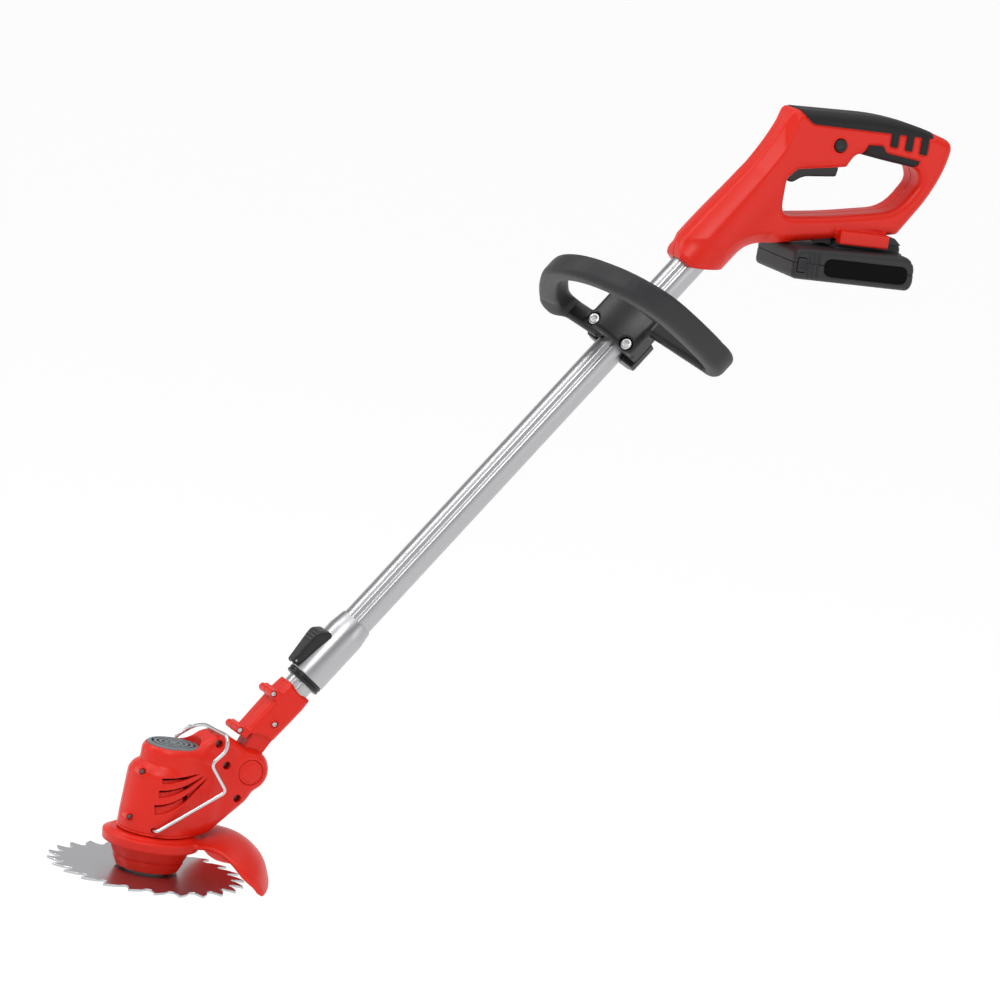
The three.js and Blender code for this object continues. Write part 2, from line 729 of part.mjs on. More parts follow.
// ---------------------------------------------------------------- battery pack
function batteryOuter() {
  const wide = plate(outline([
    [batteryFront, batteryBottom, 6], [batteryRear, batteryBottom, 7],
    [batteryRear - 1, batteryShoulder, 7], [batteryFront, batteryShoulder - 2.5, 6],
  ]), -batterySide, batterySide, 4, 3);
  const wedge = plate(outline([
    [471.5, 524], [528, 524], [527, 534, 2], [519, 540.8, 2], [471.5, 532.6],
  ]), -20.5, 20.5);
  const grooves = [-1, 1].map((side) => {
    const near = side * 16.2;
    const far = side * 30;
    return box(460, 540, Math.min(near, far), Math.max(near, far), batteryShoulder + 0.1, 534.6);
  });
  return join(wide, cut(wedge, ...grooves));
}

function latchWindows() {
  return [box(433.7, 440.9, -50, -30, 508, 519), box(433.7, 440.9, 30, 50, 508, 519)];
}

function batteryLower() {
  const bay = box(433.6, 532.4, -33, 33, batteryBottom + 2.2, 600);
  return cut(
    batteryOuter().intersect(box(400, 600, -60, 60, 480, 514.9)), bay,
    ...latchWindows(), labelSeat(),
  );
}

function batteryUpper() {
  const bay = box(433.6, 532.4, -33, 33, 480, batteryShoulder - 4.8);
  return cut(
    batteryOuter().intersect(box(400, 600, -60, 60, 515.1, 600)), bay,
    ...latchWindows(), labelSeat(),
  );
}

function labelOutline(grow) {
  return outline([
    [457 - grow, 507 - grow, 5], [528 + grow, 507 - grow, 5], [528 + grow, 520 + grow, 5],
    [457 - grow, 520 + grow, 5],
  ]);
}

function labelSeat() {
  return plate(labelOutline(gap), -60, -batterySide + 0.9);
}

function batteryLabel() {
  return plate(labelOutline(0), -batterySide - 0.2, -batterySide + 0.6);
}

// Five round cells side by side, joined by their welded tabs.
function cellPack() {
  const cells = [0, 1, 2, 3, 4].map((i) => crossBar(450.4 + 18.2 * i, 513.8, 9, -32.2, 32.2, 18));
  const tabs = [-32.6, 32].map((y) => box(446, 527, y, y + 0.6, 511.8, 515.8));
  return join(...cells, ...tabs);
}

function latchButton(side) {
  const ribs = [435.6, 437.4, 439.2].map((x) => box(x - 0.4, x + 0.4, 35.4, 36, 509.6, 517.4));
  const pad = join(box(434, 440.6, 33.4, 35.5, 508.3, 518.7), ...ribs);
  return side < 0 ? pad.mirror([0, 1, 0]) : pad;
}

// ---------------------------------------------------------------- assembly
const cutter = new THREE.Group();
cutter.position.set(-gripX, 0, -gripZ);

const housing = motorHousing();
cutter.add(
  node('motor_housing_left', leftHalf(housing), red),
  node('motor_housing_right', rightHalf(housing), red),
  node('top_vent', topVent(), darkGrey),
  node('motor_can', motorCan(), darkSteel),
  node('motor_end_bell', motorEndBell(), black),
  node('debris_guard', debrisGuard(), red),
  node('spindle_shroud', spindleShroud(), red),
  node('spindle_bearing', spindleBearing(), steel),
  node('pivot_pin', pivotPin(), steel),
  node('tilt_button', tiltButton(), red),
  node('guard_wire', guardWire(), steel),
  node('blade', blade(), steel),
  node('spindle_shaft', spindleShaft(), steel),
  node('rotor', rotor(), copper),
  node('upper_flange', upperFlange(), steel),
  node('lower_flange', lowerFlange(), steel),
  node('blade_nut', bladeNut(), steel),
);
housingScrews.forEach(([x, z], i) => {
  const headRadius = i < frontTowers ? 2 : 2.6;
  cutter.add(node(`housing_screw_${i + 1}`, screw(x, screwSeat(i), z, 18, headRadius), steel));
});

const pole = new THREE.Group();
pole.position.set(poleX, 0, poleZ);
pole.rotation.y = poleAngle;
const stemShell = stem();
pole.add(
  node('stem_left', leftHalf(stemShell), red),
  node('stem_right', rightHalf(stemShell), red),
  node('inner_tube', groovedTube(innerTubeRadius, innerTubeRadius - tubeWall, 30, 380), aluminium),
  node('tube_bush', tubeBush(), black),
  node('outer_tube',
    groovedTube(outerTubeRadius, outerTubeRadius - tubeWall, sleeveStart + 0.5, tubeEnd), aluminium),
  node('tube_sleeve', tubeSleeve(), aluminium),
  node('tube_collar', tubeCollar(), black),
  node('lock_lever', lockLever(), black),
  node('lock_lever_pin', leverPin(), steel),
  node('loop_handle', loopHandle(), darkGrey),
  node('loop_clamp_cap', loopClampCap(), darkGrey),
);
[-17.5, 17.5].forEach((x, i) => {
  pole.add(node(`loop_bolt_${i + 1}`, loopBolt(x), steel));
  pole.add(node(`loop_nut_${i + 1}`, loopNut(x), steel));
});
stemScrews.forEach(([x, z], i) => {
  pole.add(node(`stem_screw_${i + 1}`, screw(x, 0.4 - stemReach(i), z, stemScrewLength(i), 2.1), steel));
});
cutter.add(pole);

const rear = rearHousing();
cutter.add(
  node('rear_housing_left', leftHalf(rear), red),
  node('rear_housing_right', rightHalf(rear), red),
  node('grip_overmould', gripOvermould(), black),
  node('palm_overmould', palmOvermould(), black),
  node('trigger', triggerLever(), black),
  node('lock_off_button', lockOffButton(), black),
  node('trigger_switch', triggerSwitch(), black),
  node('terminal_block', terminalBlock(), black),
  node('battery_case_upper', batteryUpper(), darkGrey),
  node('battery_case_lower', batteryLower(), darkGrey),
  node('battery_label', batteryLabel(), black),
  node('cell_pack', cellPack(), cellWrap),
  node('latch_button_left', latchButton(-1), darkGrey),
  node('latch_button_right', latchButton(1), darkGrey),
);
handleScrews.forEach(([x, z], i) => {
  cutter.add(node(`handle_screw_${i + 1}`, screw(x, -14.3, z, 22).mirror([0, 1, 0]), steel));
});

const machine = new THREE.Group();
machine.add(cutter);

export default machine;
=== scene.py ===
"""A cordless brush cutter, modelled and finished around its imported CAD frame.

Lengths are millimetres. The cutter frame has its origin at the blade's centre, +Z up the spindle
and +X back to the operator. The pole frame has Z up the pole and -X on the pole's top side.
Moulded pieces are distance fields, meshed at one step, so that their edges and joins are rounded.
"""

import math

import bmesh
import bpy
import numpy as np
import openvdb
from mathutils import Matrix, Vector


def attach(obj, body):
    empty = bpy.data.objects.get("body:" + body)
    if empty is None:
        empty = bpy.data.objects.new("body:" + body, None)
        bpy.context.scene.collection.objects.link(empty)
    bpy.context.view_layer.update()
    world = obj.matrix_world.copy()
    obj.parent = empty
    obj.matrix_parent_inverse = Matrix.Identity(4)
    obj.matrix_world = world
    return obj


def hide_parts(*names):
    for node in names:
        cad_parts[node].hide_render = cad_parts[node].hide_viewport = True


MM = 0.001
GRIP = Vector((490, 0, 608))

PIVOT = (64.3, 83.7)
CHEEK_SIDE = 17
CHEEK_RADIUS = 17
TONGUE_RADIUS = 16.6
TONGUE_SIDE = 8.8
MOTOR_X = 1
DRUM_X = 6
WIRE_HINGE = (-9, 36.5)

POLE_ANGLE = math.radians(36.7)
POLE_FOOT = (54.56, 90.95)
PIVOT_OFFSET = 12.14
TUBE_RADIUS = 12
INNER_TUBE_RADIUS = 10.6
TUBE_WALL = 1
CLEARANCE = 0.3
GROOVE_ANGLE = math.radians(234)
GROOVE_DEPTH = 1.2
SLEEVE = (82, 138)
INNER_TUBE = (30, 380)
NECK_START = 506
TUBE_END = 590

LOOP_STATION = 441.5
CLAMP_STATION = 432
LOOP_TURN = math.radians(126)
LOOP_OFFSET = -20
LOOP_SLOPE = 0.284
LOOP_SIDE = 10
BASE_STEP = 11.4
BASE_SLOPE = 0.075
LOOP_BOLTS = (-17.5, 17.5)
BOLT_STATION = -3
SADDLE_CROWN = 0.0075

HANDLE_SIDE = 17.5
BATTERY_SIDE = 35
BATTERY_FRONT = 431
BATTERY_REAR = 535
BATTERY_BOTTOM = 502
BATTERY_SHOULDER = 528.5
BATTERY_SPLIT = 515
SPLIT_GAP = 0.02
SPLIT_EASE = 0.6

GUARD_DROOP = 0.0035
GUARD_LOW = -3.6

BLADE_RADIUS = 75
BLADE_TEETH = 24
BLADE_THICKNESS = 1.8

SEAM_GAP = 0.04
SEAM_EASE = 0.4

GRAIN_DEPTH = 0.0002
SKY_STRENGTH = 1.5

FINE = 0.5
COARSE = 0.7


# ---------------------------------------------------------------- frames
def cutter_matrix():
    return Matrix.Scale(MM, 4) @ Matrix.Translation(-GRIP)


def pole_matrix():
    foot = Matrix.Translation((POLE_FOOT[0], 0, POLE_FOOT[1]))
    return cutter_matrix() @ foot @ Matrix.Rotation(POLE_ANGLE, 4, "Y")


def clamp_matrix():
    turn = Matrix.Rotation(LOOP_TURN, 4, "Z")
    return pole_matrix() @ Matrix.Translation((0, 0, CLAMP_STATION)) @ turn


CUTTER = cutter_matrix()
POLE = pole_matrix()
CLAMP = clamp_matrix()


# ---------------------------------------------------------------- distance fields
class Grid:
    """Sample points of a box. Y = 0 is always one of the sample planes."""

    def __init__(self, x, y, z, step):
        self.step = step
        self.low = [math.floor(side[0] / step) * step for side in (x, y, z)]
        counts = [math.ceil((side[1] - low) / step) + 1 for side, low in zip((x, y, z), self.low)]
        axes = [low + step * np.arange(n) for low, n in zip(self.low, counts)]
        self.x = axes[0][:, None, None]
        self.y = axes[1][None, :, None]
        self.z = axes[2][None, None, :]
        self.shape = tuple(counts)


def rounded(points, steps=5):
    """The corners of an outline of (x, y, corner radius), with each corner drawn as a curve."""
    corners = [Vector(p[:2]) for p in points]
    line = []
    for i, point in enumerate(points):
        corner = corners[i]
        before = corners[i - 1] - corner
        after = corners[(i + 1) % len(points)] - corner
        radius = point[2] if len(point) > 2 else 0
        reach = min(radius, 0.48 * before.length, 0.48 * after.length)
        if reach == 0:
            line.append(corner)
            continue
        start = corner + before.normalized() * reach
        end = corner + after.normalized() * reach
        line += [bezier(start, corner, end, k / steps) for k in range(steps + 1)]
    return [(p.x, p.y) for p in line]


def bezier(start, control, end, t):
    return start * (1 - t) ** 2 + control * (2 * t * (1 - t)) + end * t**2


def polygon(points, u, v):
    """Signed distance to a closed outline in a plane: negative inside."""
    nearest = np.full(np.broadcast(u, v).shape, 1e9)
    inside = np.zeros(nearest.shape, bool)
    for (x0, y0), (x1, y1) in zip(points, points[1:] + points[:1]):
        ex, ey = x1 - x0, y1 - y0
        wx, wy = u - x0, v - y0
        t = np.clip((wx * ex + wy * ey) / (ex * ex + ey * ey + 1e-12), 0, 1)
        nearest = np.minimum(nearest, (wx - ex * t) ** 2 + (wy - ey * t) ** 2)
        crosses = (v >= y0) != (v >= y1)
        left = wx * ey < ex * wy if ey > 0 else wx * ey > ex * wy
        inside ^= crosses & left
    return np.sqrt(nearest) * np.where(inside, -1, 1)


def soft_min(a, b, blend):
    h = np.maximum(blend - np.abs(a - b), 0) / blend
    return np.minimum(a, b) - h * h * blend / 4


def soft_max(a, b, blend):
    return -soft_min(-a, -b, blend)


def slab(flat, across, half, edge):
    """A flat outline's distance given a thickness, with rounded edges."""
    a = flat + edge
    b = np.abs(across) - half + edge
    return np.minimum(np.maximum(a, b), 0) + np.hypot(np.maximum(a, 0), np.maximum(b, 0)) - edge


def rod(u, v, radius, along, start, end):
    """A round bar between two places along its axis."""
    middle, half = (start + end) / 2, abs(end - start) / 2
    return np.maximum(np.hypot(u, v) - radius, np.abs(along - middle) - half)


def block(x, y, z, low, high, edge=0.0):
    """A box with rounded edges."""
    sides = [np.abs(v - (a + b) / 2) - (b - a) / 2 + edge for v, a, b in zip((x, y, z), low, high)]
    outside = sum(np.maximum(s, 0) ** 2 for s in sides)
    return np.sqrt(outside) + np.minimum(np.maximum(np.maximum(*sides[:2]), sides[2]), 0) - edge


def without(body, *tools):
    for tool in tools:
        body = np.maximum(body, -tool)
    return body


def together(*bodies, blend=0.0):
    whole = bodies[0]
    for body in bodies[1:]:
        whole = soft_min(whole, body, blend) if blend else np.minimum(whole, body)
    return whole


# ---------------------------------------------------------------- objects
def add_object(name, vertices, faces, frame, body, finish, nodes, crease=None):
    mesh = bpy.data.meshes.new(name)
    mesh.from_pydata(vertices, [], faces)
    mesh.transform(frame)
    mesh.shade_smooth()
    if crease is not None:
        mesh.set_sharp_from_angle(angle=math.radians(crease))
    mesh.materials.append(finish)
    obj = bpy.data.objects.new(name, mesh)
    bpy.context.collection.objects.link(obj)
    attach(obj, body)
    if nodes:
        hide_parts(*nodes)
    return obj


def add_field(name, field, grid, frame, body, finish, nodes=()):
    """The surface where a distance field is zero, as an object."""
    reach = 3 * grid.step
    samples = np.broadcast_to(field, grid.shape).clip(-reach, reach).astype(np.float32)
    volume = openvdb.FloatGrid(reach)
    volume.copyFromArray(np.ascontiguousarray(samples))
    points, _, quads = volume.convertToPolygons(isovalue=0.0, adaptivity=0.0)
    points = points * grid.step + np.array(grid.low)
    return add_object(name, points.tolist(), quads.tolist(), frame, body, finish, nodes, 50)


def add_halves(name, field, grid, frame, body, finish):
    """A shell in two mouldings that meet at Y = 0, with the edge of each eased at the seam."""
    for side, sign in (("left", 1), ("right", -1)):
        half = soft_max(field, sign * grid.y + SEAM_GAP, SEAM_EASE)
        node = f"{name}_{side}"
        add_field(f"{node}_moulding", half, grid, frame, body, finish, [node])


def add_turned(name, profile, frame, body, finish, nodes, segments=96):
    """A solid of revolution. profile is (radius, height) from one end round to the other."""
    builder = bmesh.new()
    ring = [builder.verts.new((radius, 0, height)) for radius, height in profile]
    edges = [builder.edges.new(pair) for pair in zip(ring, ring[1:])]
    if profile[0][0] > 0:
        edges.append(builder.edges.new((ring[-1], ring[0])))
    bmesh.ops.spin(
        builder, geom=ring + edges, cent=(0, 0, 0), axis=(0, 0, 1), angle=2 * math.pi,
        steps=segments, use_merge=True, use_duplicate=False,
    )
    bmesh.ops.remove_doubles(builder, verts=builder.verts, dist=1e-4)
    bmesh.ops.recalc_face_normals(builder, faces=builder.faces)
    return add_bmesh(name, builder, frame, body, finish, nodes)


def add_bmesh(name, builder, frame, body, finish, nodes, crease=35):
    vertices = [v.co[:] for v in builder.verts]
    builder.verts.index_update()
    faces = [[v.index for v in f.verts] for f in builder.faces]
    builder.free()
    return add_object(name, vertices, faces, frame, body, finish, nodes, crease)


def bent_wire(points, bends, steps=8):
    """A route of straight runs, joined by a curved bend of its own reach at each inner point."""
    route = [points[0]]
    for before, corner, after, bend in zip(points, points[1:], points[2:], bends):
        start = corner + (before - corner).normalized() * bend
        end = corner + (after - corner).normalized() * bend
        route += [bezier(start, corner, end, k / steps) for k in range(steps + 1)]
    return route + [points[-1]]


def add_wire(name, route, radius, frame, body, finish, nodes, sides=16):
    """A round bar along a route of points, closed at its ends."""
    builder = bmesh.new()
    up = Vector((0, 0, 1))
    rings = []
    for i, point in enumerate(route):
        tangent = (route[min(i + 1, len(route) - 1)] - route[max(i - 1, 0)]).normalized()
        side = tangent.cross(up)
        if side.length < 0.2:
            side = tangent.cross(Vector((1, 0, 0)))
        side.normalize()
        up = side.cross(tangent).normalized()
        rings.append([
            builder.verts.new(point + radius * (side * math.cos(a) + up * math.sin(a)))
            for a in (2 * math.pi * k / sides for k in range(sides))
        ])
    for low, high in zip(rings, rings[1:]):
        for k in range(sides):
            builder.faces.new((low[k], low[k - 1], high[k - 1], high[k]))
    builder.faces.new(rings[0])
    builder.faces.new(rings[-1][::-1])
    bmesh.ops.recalc_face_normals(builder, faces=builder.faces)
    return add_bmesh(name, builder, frame, body, finish, nodes, crease=60)


# ---------------------------------------------------------------- finishes
def new_material(slot, color, roughness, metallic=0.0, specular=0.5, glow=0.0):
    material = bpy.data.materials.new(slot)
    material["slot"] = slot
    material.use_nodes = True
    shader = material.node_tree.nodes["Principled BSDF"]
    shader.inputs["Base Color"].default_value = (*color, 1)
    shader.inputs["Roughness"].default_value = roughness
    shader.inputs["Metallic"].default_value = metallic
    shader.inputs["Specular IOR Level"].default_value = specular
    shader.inputs["Emission Color"].default_value = (1, 1, 1, 1)
    shader.inputs["Emission Strength"].default_value = glow
    return material


def add_grain(material, scale, strength, rough):
    """Fine relief over a finish, whose roughness varies between two values."""
    tree = material.node_tree
    shader = tree.nodes["Principled BSDF"]
    place = tree.nodes.new("ShaderNodeTexCoord")
    noise = tree.nodes.new("ShaderNodeTexNoise")
    bump = tree.nodes.new("ShaderNodeBump")
    spread = tree.nodes.new("ShaderNodeMapRange")
    noise.inputs["Scale"].default_value = scale
    noise.inputs["Detail"].default_value = 4
    bump.inputs["Strength"].default_value = strength
    bump.inputs["Distance"].default_value = GRAIN_DEPTH
    spread.inputs["To Min"].default_value = rough[0]
    spread.inputs["To Max"].default_value = rough[1]
    tree.links.new(place.outputs["Object"], noise.inputs["Vector"])
    tree.links.new(noise.outputs["Fac"], bump.inputs["Height"])
    tree.links.new(bump.outputs["Normal"], shader.inputs["Normal"])
    tree.links.new(noise.outputs["Fac"], spread.inputs["Value"])
    tree.links.new(spread.outputs["Result"], shader.inputs["Roughness"])
    return material


def make_finishes():
    red = new_material("red_shell", (0.64, 0.012, 0.003), 0.38, specular=0.3)
    black = new_material("black_plastic", (0.006, 0.006, 0.007), 0.34, specular=0.4)
    grey = new_material("grey_plastic", (0.024, 0.024, 0.026), 0.48, specular=0.3)
    grip = new_material("soft_grip", (0.008, 0.008, 0.009), 0.58, specular=0.3)
    steel = new_material("bright_steel", (0.6, 0.6, 0.61), 0.3, 1)
    return {
        "red": add_grain(red, 900, 0.1, rough=(0.3, 0.44)),
        "black": add_grain(black, 1200, 0.12, rough=(0.28, 0.4)),
        "grey": add_grain(grey, 1500, 0.3, rough=(0.42, 0.56)),
        "grip": add_grain(grip, 1800, 0.5, rough=(0.5, 0.66)),
        "steel": add_grain(steel, 400, 0.06, rough=(0.22, 0.38)),
        "blade": new_material("bright_steel", (0.5, 0.5, 0.52), 0.26, 1),
        # The screw finish is a darkened steel: painted shade, standing in for the shadow on screw heads
        # sat down in their wells.
        "screw": new_material("bright_steel", (0.2, 0.17, 0.17), 0.4, 1),
        "tube": new_material("pole_tube", (0.44, 0.44, 0.45), 0.33, 1),
        "grille": new_material("grey_plastic", (0.13, 0.15, 0.16), 0.35),
        "label": new_material("label", (0.001, 0.001, 0.0015), 0.3, specular=0.06),
    }


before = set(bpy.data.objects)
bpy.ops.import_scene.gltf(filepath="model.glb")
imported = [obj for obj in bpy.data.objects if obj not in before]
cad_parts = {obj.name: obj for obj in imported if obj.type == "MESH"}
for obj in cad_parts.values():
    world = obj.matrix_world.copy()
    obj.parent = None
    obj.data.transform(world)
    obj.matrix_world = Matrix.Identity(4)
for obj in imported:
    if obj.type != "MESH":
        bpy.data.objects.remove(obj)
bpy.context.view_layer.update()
FINISH = make_finishes()


# ---------------------------------------------------------------- cutter head
HOUSING_SCREWS = ((-21.2, 78.5), (-25.6, 43.4), (44.6, 87.7), (57.2, 63), (36.1, 103.5))
TOWER_SCREWS = HOUSING_SCREWS[:2]
WELL_SEAT = -12
TOWER_REACH = 16
TOWER_RADIUS = 3.1
MOTOR_BAY = 24.6
MOTOR_BAY_SIDE = 21.4
WIRE_HOLE = 1.9
VENT_DEPTH = 3
VENT_SLIT = 1.7
VENTS = (
    (((-7.9, 76.1), (8, 77.4), (23, 81.4)), ((23, 81.4), (10, 75), (-7.4, 72.2))),
    (((-9.1, 66.7), (10, 69), (27.5, 80.4)), ((27.5, 80.4), (13, 66.5), (-8.2, 61.4))),
    (((-10.8, 55.3), (11, 59), (29.5, 78.6)), ((29.5, 78.6), (15, 55), (-9.6, 48))),
)


def vent_outline(edges, steps=8):
    points = []
    for start, control, end in edges:
        curve = [Vector(p) for p in (start, control, end)]
        points += [bezier(*curve, k / steps)[:] for k in range(steps + 1)]
    return points


def housing_seat(screw):
    """The height of a screw's head on the near side: on a raised tower or down a well."""
    return 0.6 - TOWER_REACH if screw in TOWER_SCREWS else WELL_SEAT


def around_pivot(x, z):
    return np.hypot(x - PIVOT[0], z - PIVOT[1])


def motor_housing():
    grid = Grid((-30, 88), (-30, 30), (28, 114), FINE)
    x, y, z = grid.x, grid.y, grid.z
    barrel = polygon(
        rounded([(0, 31), (28.2, 31, 1), (28, 42), (26.2, 77, 3), (22, 83, 3), (0, 84)]),
        np.hypot(x - MOTOR_X, y), z,
    )
    drum = polygon(
        rounded([(0, 70), (23.6, 70), (23.2, 94, 3), (20.6, 97.6, 1), (0, 97.6)]),
        np.hypot(x - DRUM_X, y), z,
    )
    flank = slab(polygon(rounded([
        (4, 32), (30, 31.4, 8), (42, 44, 9), (42, 80, 9), (34, 96, 9), (4, 96),
    ]), x, z), y, 21, 9)
    arm = slab(polygon(rounded([
        (14, 34), (37, 31.6, 8), (71, 65.5, 10), (66, 96, 8), (50, 107, 7), (41, 110, 7),
        (30, 108, 9), (18, 97, 8), (14, 97),
    ]), x, z), y, CHEEK_SIDE - 0.4, 7)
    knuckle = polygon(
        rounded([(0, 0), (CHEEK_RADIUS, 0), (CHEEK_RADIUS, 9.5, 3), (13, CHEEK_SIDE, 3), (0, CHEEK_SIDE)]),
        around_pivot(x, z), np.abs(y),
    )
    body = together(barrel, drum, blend=3)
    body = soft_min(body, flank, 7)
    body = soft_min(body, arm, 7)
    body = soft_min(body, knuckle, 4)
    towers = [
        rod(x - sx, z - sz, TOWER_RADIUS, y, -TOWER_REACH, -7) for sx, sz in TOWER_SCREWS
    ]
    body = soft_min(body, together(*towers), 1.5)
    step_line = rod(x - MOTOR_X, y, 60, z, 32.6, 33.4)
    body = np.maximum(body, -np.maximum(step_line, -(body + 0.5)))
    wells = []
    for screw in HOUSING_SCREWS:
        radius = 2.3 if screw in TOWER_SCREWS else 3
        wells.append(rod(x - screw[0], z - screw[1], radius, y, -40, housing_seat(screw) + 2))
    vents = []
    for edges in VENTS:
        outline = vent_outline(edges)
        area = polygon(outline, x, z)
        upper_edge = np.maximum(area, -polygon(outline, x, z + VENT_SLIT))
        vents.append(np.maximum(area, -(body + VENT_DEPTH)))
        vents.append(np.maximum(upper_edge, 17 - np.abs(y)))
    bays = [
        np.maximum(rod(x - MOTOR_X, y, MOTOR_BAY, z, 20, 77), np.abs(y) - MOTOR_BAY_SIDE),
        rod(x - DRUM_X, y, 20.5, z, 70, 92.5),
        rod(x - DRUM_X, y, 20.3, z, 94.6, 130),
        rod(x - DRUM_X, y, 15, z, 90, 130),
    ]
    slot = np.maximum(np.abs(y) - 9.2, together(around_pivot(x, z) - TONGUE_RADIUS - 0.5, fan(x, z)))
    pocket = rod(x - PIVOT[0], z - PIVOT[1], 9.8, y, -40, -11.6)
    wire = together(*(
        rod(x - WIRE_HINGE[0], z - WIRE_HINGE[1], WIRE_HOLE, y, side * 22, side * 40) for side in (-1, 1)
    ))
    body = without(body, *wells, *bays, slot, pocket, wire)
    body = soft_max(body, -together(*vents), 0.8)
    add_halves("motor_housing", body, grid, CUTTER, "head", FINISH["red"])


def fan(x, z, start=-8, end=124, radius=60):
    """The sector about the pivot that the stem's tongue sweeps."""
    middle, half = math.radians((start + end) / 2), math.radians((end - start) / 2)
    dx, dz = x - PIVOT[0], z - PIVOT[1]
    along = dx * math.cos(middle) + dz * math.sin(middle)
    across = np.abs(dz * math.cos(middle) - dx * math.sin(middle))
    wedge = across * math.cos(half) - along * math.sin(half)
    return np.maximum(wedge, np.hypot(dx, dz) - radius)


def top_vent():
    grid = Grid((-16, 28), (-22, 22), (93, 101), FINE * 0.7)
    x, y, z = grid.x, grid.y, grid.z
    radius = np.hypot(x - DRUM_X, y)
    cap = polygon(rounded([(0, 94.9), (20, 94.9), (20, 98.2, 1), (17, 98.8, 1), (0, 98.9)]), radius, z)
    rings = together(*(np.abs(radius - r) - 0.9 for r in (4, 8, 12, 16)))
    angle = np.arctan2(y, x - DRUM_X)
    ribs = 1.1 - radius * np.abs(np.sin(angle * 4))
    slots = np.maximum(rings, np.broadcast_to(ribs, rings.shape))
    add_field("top_grille", without(cap, slots), grid, CUTTER, "head", FINISH["grille"], ["top_vent"])


def tilt_button():
    add_turned(
        "tilt_button_cap",
        [(0, -18.2), (5, -18), (7.4, -17.5), (7.7, -17.2), (8.2, -17.4), (9.1, -17.3), (9.5, -16.8),
         (9.5, -15.2), (0, -15.2)],
        CUTTER @ Matrix.Translation((PIVOT[0], 0, PIVOT[1])) @ Matrix.Rotation(-math.pi / 2, 4, "X"),
        "tilt_button", FINISH["red"], ["tilt_button"],
    )


def debris_guard():
    grid = Grid((-39, 95), (-63, 63), (-12, 42), COARSE)
    x, y, z = grid.x, grid.y, grid.z
    radius = np.hypot(x, y)
    ring = polygon(rounded([
        (22, 23.5), (33, 23.5), (33, 20.6), (36.4, 20.4, 1), (37.3, 27.8, 1.2), (34, 29, 1),
        (31.5, 30.7), (22, 30.7),
    ]), radius, z)
    crest = rounded([
        (33, 29.4), (52, 35.4, 12), (72, 33, 14), (87.5, 21, 12), (92.8, 7, 8), (92, 3, 2), (88.6, 3, 2),
        (89, 7, 8), (84, 18, 12), (69, 29.4, 14), (52, 31.4, 12), (33, 25.4),
    ])
    sector = polygon(rounded([
        (20, -24), (56, -60, 14), (76, -52, 10), (120, -46), (120, 46), (76, 52, 10), (56, 60, 14),
        (20, 24),
    ]), x, y)
    skin = soft_max(polygon(crest, radius, z + GUARD_DROOP * y * y), sector, 2.4)
    skin = soft_max(skin, GUARD_LOW - z, 5)
    guard = soft_min(ring, skin, 3)
    add_field("guard_moulding", np.maximum(guard, 22 - radius), grid, CUTTER, "head",
              FINISH["red"], ["debris_guard"])


def spindle_shroud():
    add_turned("shroud", [
        (11.3, 16.4), (24.5, 16.4), (25.6, 12.5), (21, 3), (22.8, 2.4), (23.6, 2.6), (26.6, 8.8),
        (26.7, 9.3), (25.9, 10.4), (26, 10.9), (27.2, 11.6), (29.4, 16.6), (30.2, 19.8), (29.8, 20.2),
        (11.3, 20.2),
    ], CUTTER, "head", FINISH["red"], ["spindle_shroud"], segments=128)


def guard_wire():
    hinge_x, hinge_z = WIRE_HINGE
    near = [(hinge_x, hinge_z), (41.3, 71.2), (26, 91.2), (36.8, 102.6)]
    far = [(25, 101), (18, 95), (41.3, 71.2), (hinge_x, hinge_z)]
    points = [(hinge_x, -23.8, hinge_z), *((x, -31, z) for x, z in near), (37, -28, 112.6),
              (33.5, 28, 110.6), *((x, 31, z) for x, z in far), (hinge_x, 23.8, hinge_z)]
    bends = (3, 4, 5, 5, 5, 20, 7, 4, 4, 3)
    route = bent_wire([Vector(p) for p in points], bends)
    add_wire("wire_guard_rod", route, 1.4, CUTTER, "wire_guard", FINISH["steel"], ["guard_wire"])


# ---------------------------------------------------------------- blade
def saw_blade():
    """One tooth is a raked face, a sharp point, a long back and a rounded gullet."""
    pitch = 2 * math.pi / BLADE_TEETH
    tooth = [(0, 1), (0.1, 0.988), (0.22, 0.968), (0.34, 0.946), (0.46, 0.926), (0.54, 0.905),
             (0.6, 0.88), (0.67, 0.864), (0.77, 0.858), (0.87, 0.862), (0.94, 0.88), (0.985, 0.92)]
    outline = [
        (reach * BLADE_RADIUS, (i + turn) * pitch) for i in range(BLADE_TEETH) for turn, reach in tooth
    ]
    builder = bmesh.new()
    half, ease = BLADE_THICKNESS / 2, 0.2
    levels = [(-half, ease), (-half + ease, 0), (half - ease, 0), (half, ease)]
    rims = [
        [builder.verts.new(((r - inset) * math.cos(a), (r - inset) * math.sin(a), height))
         for r, a in outline]
        for height, inset in levels
    ]
    holes = [
        [builder.verts.new((10 * math.cos(a), 10 * math.sin(a), height)) for _, a in outline]
        for height in (-half, half)
    ]
    loops = [holes[0], *rims, holes[1]]
    for low, high in zip(loops, loops[1:] + loops[:1]):
        for k in range(len(outline)):
            builder.faces.new((low[k], low[k - 1], high[k - 1], high[k]))
    bmesh.ops.recalc_face_normals(builder, faces=builder.faces)
    add_bmesh("saw_blade", builder, CUTTER, "spindle", FINISH["blade"], ["blade"], crease=25)


# ---------------------------------------------------------------- pole
STEM_SCREWS = ((-15.8, 54.5), (-15.8, 17.5), (1.5, 38.7))
STEM_SEATS = (12.7, 12.7, 14)
STEM_SIDE = 12.6


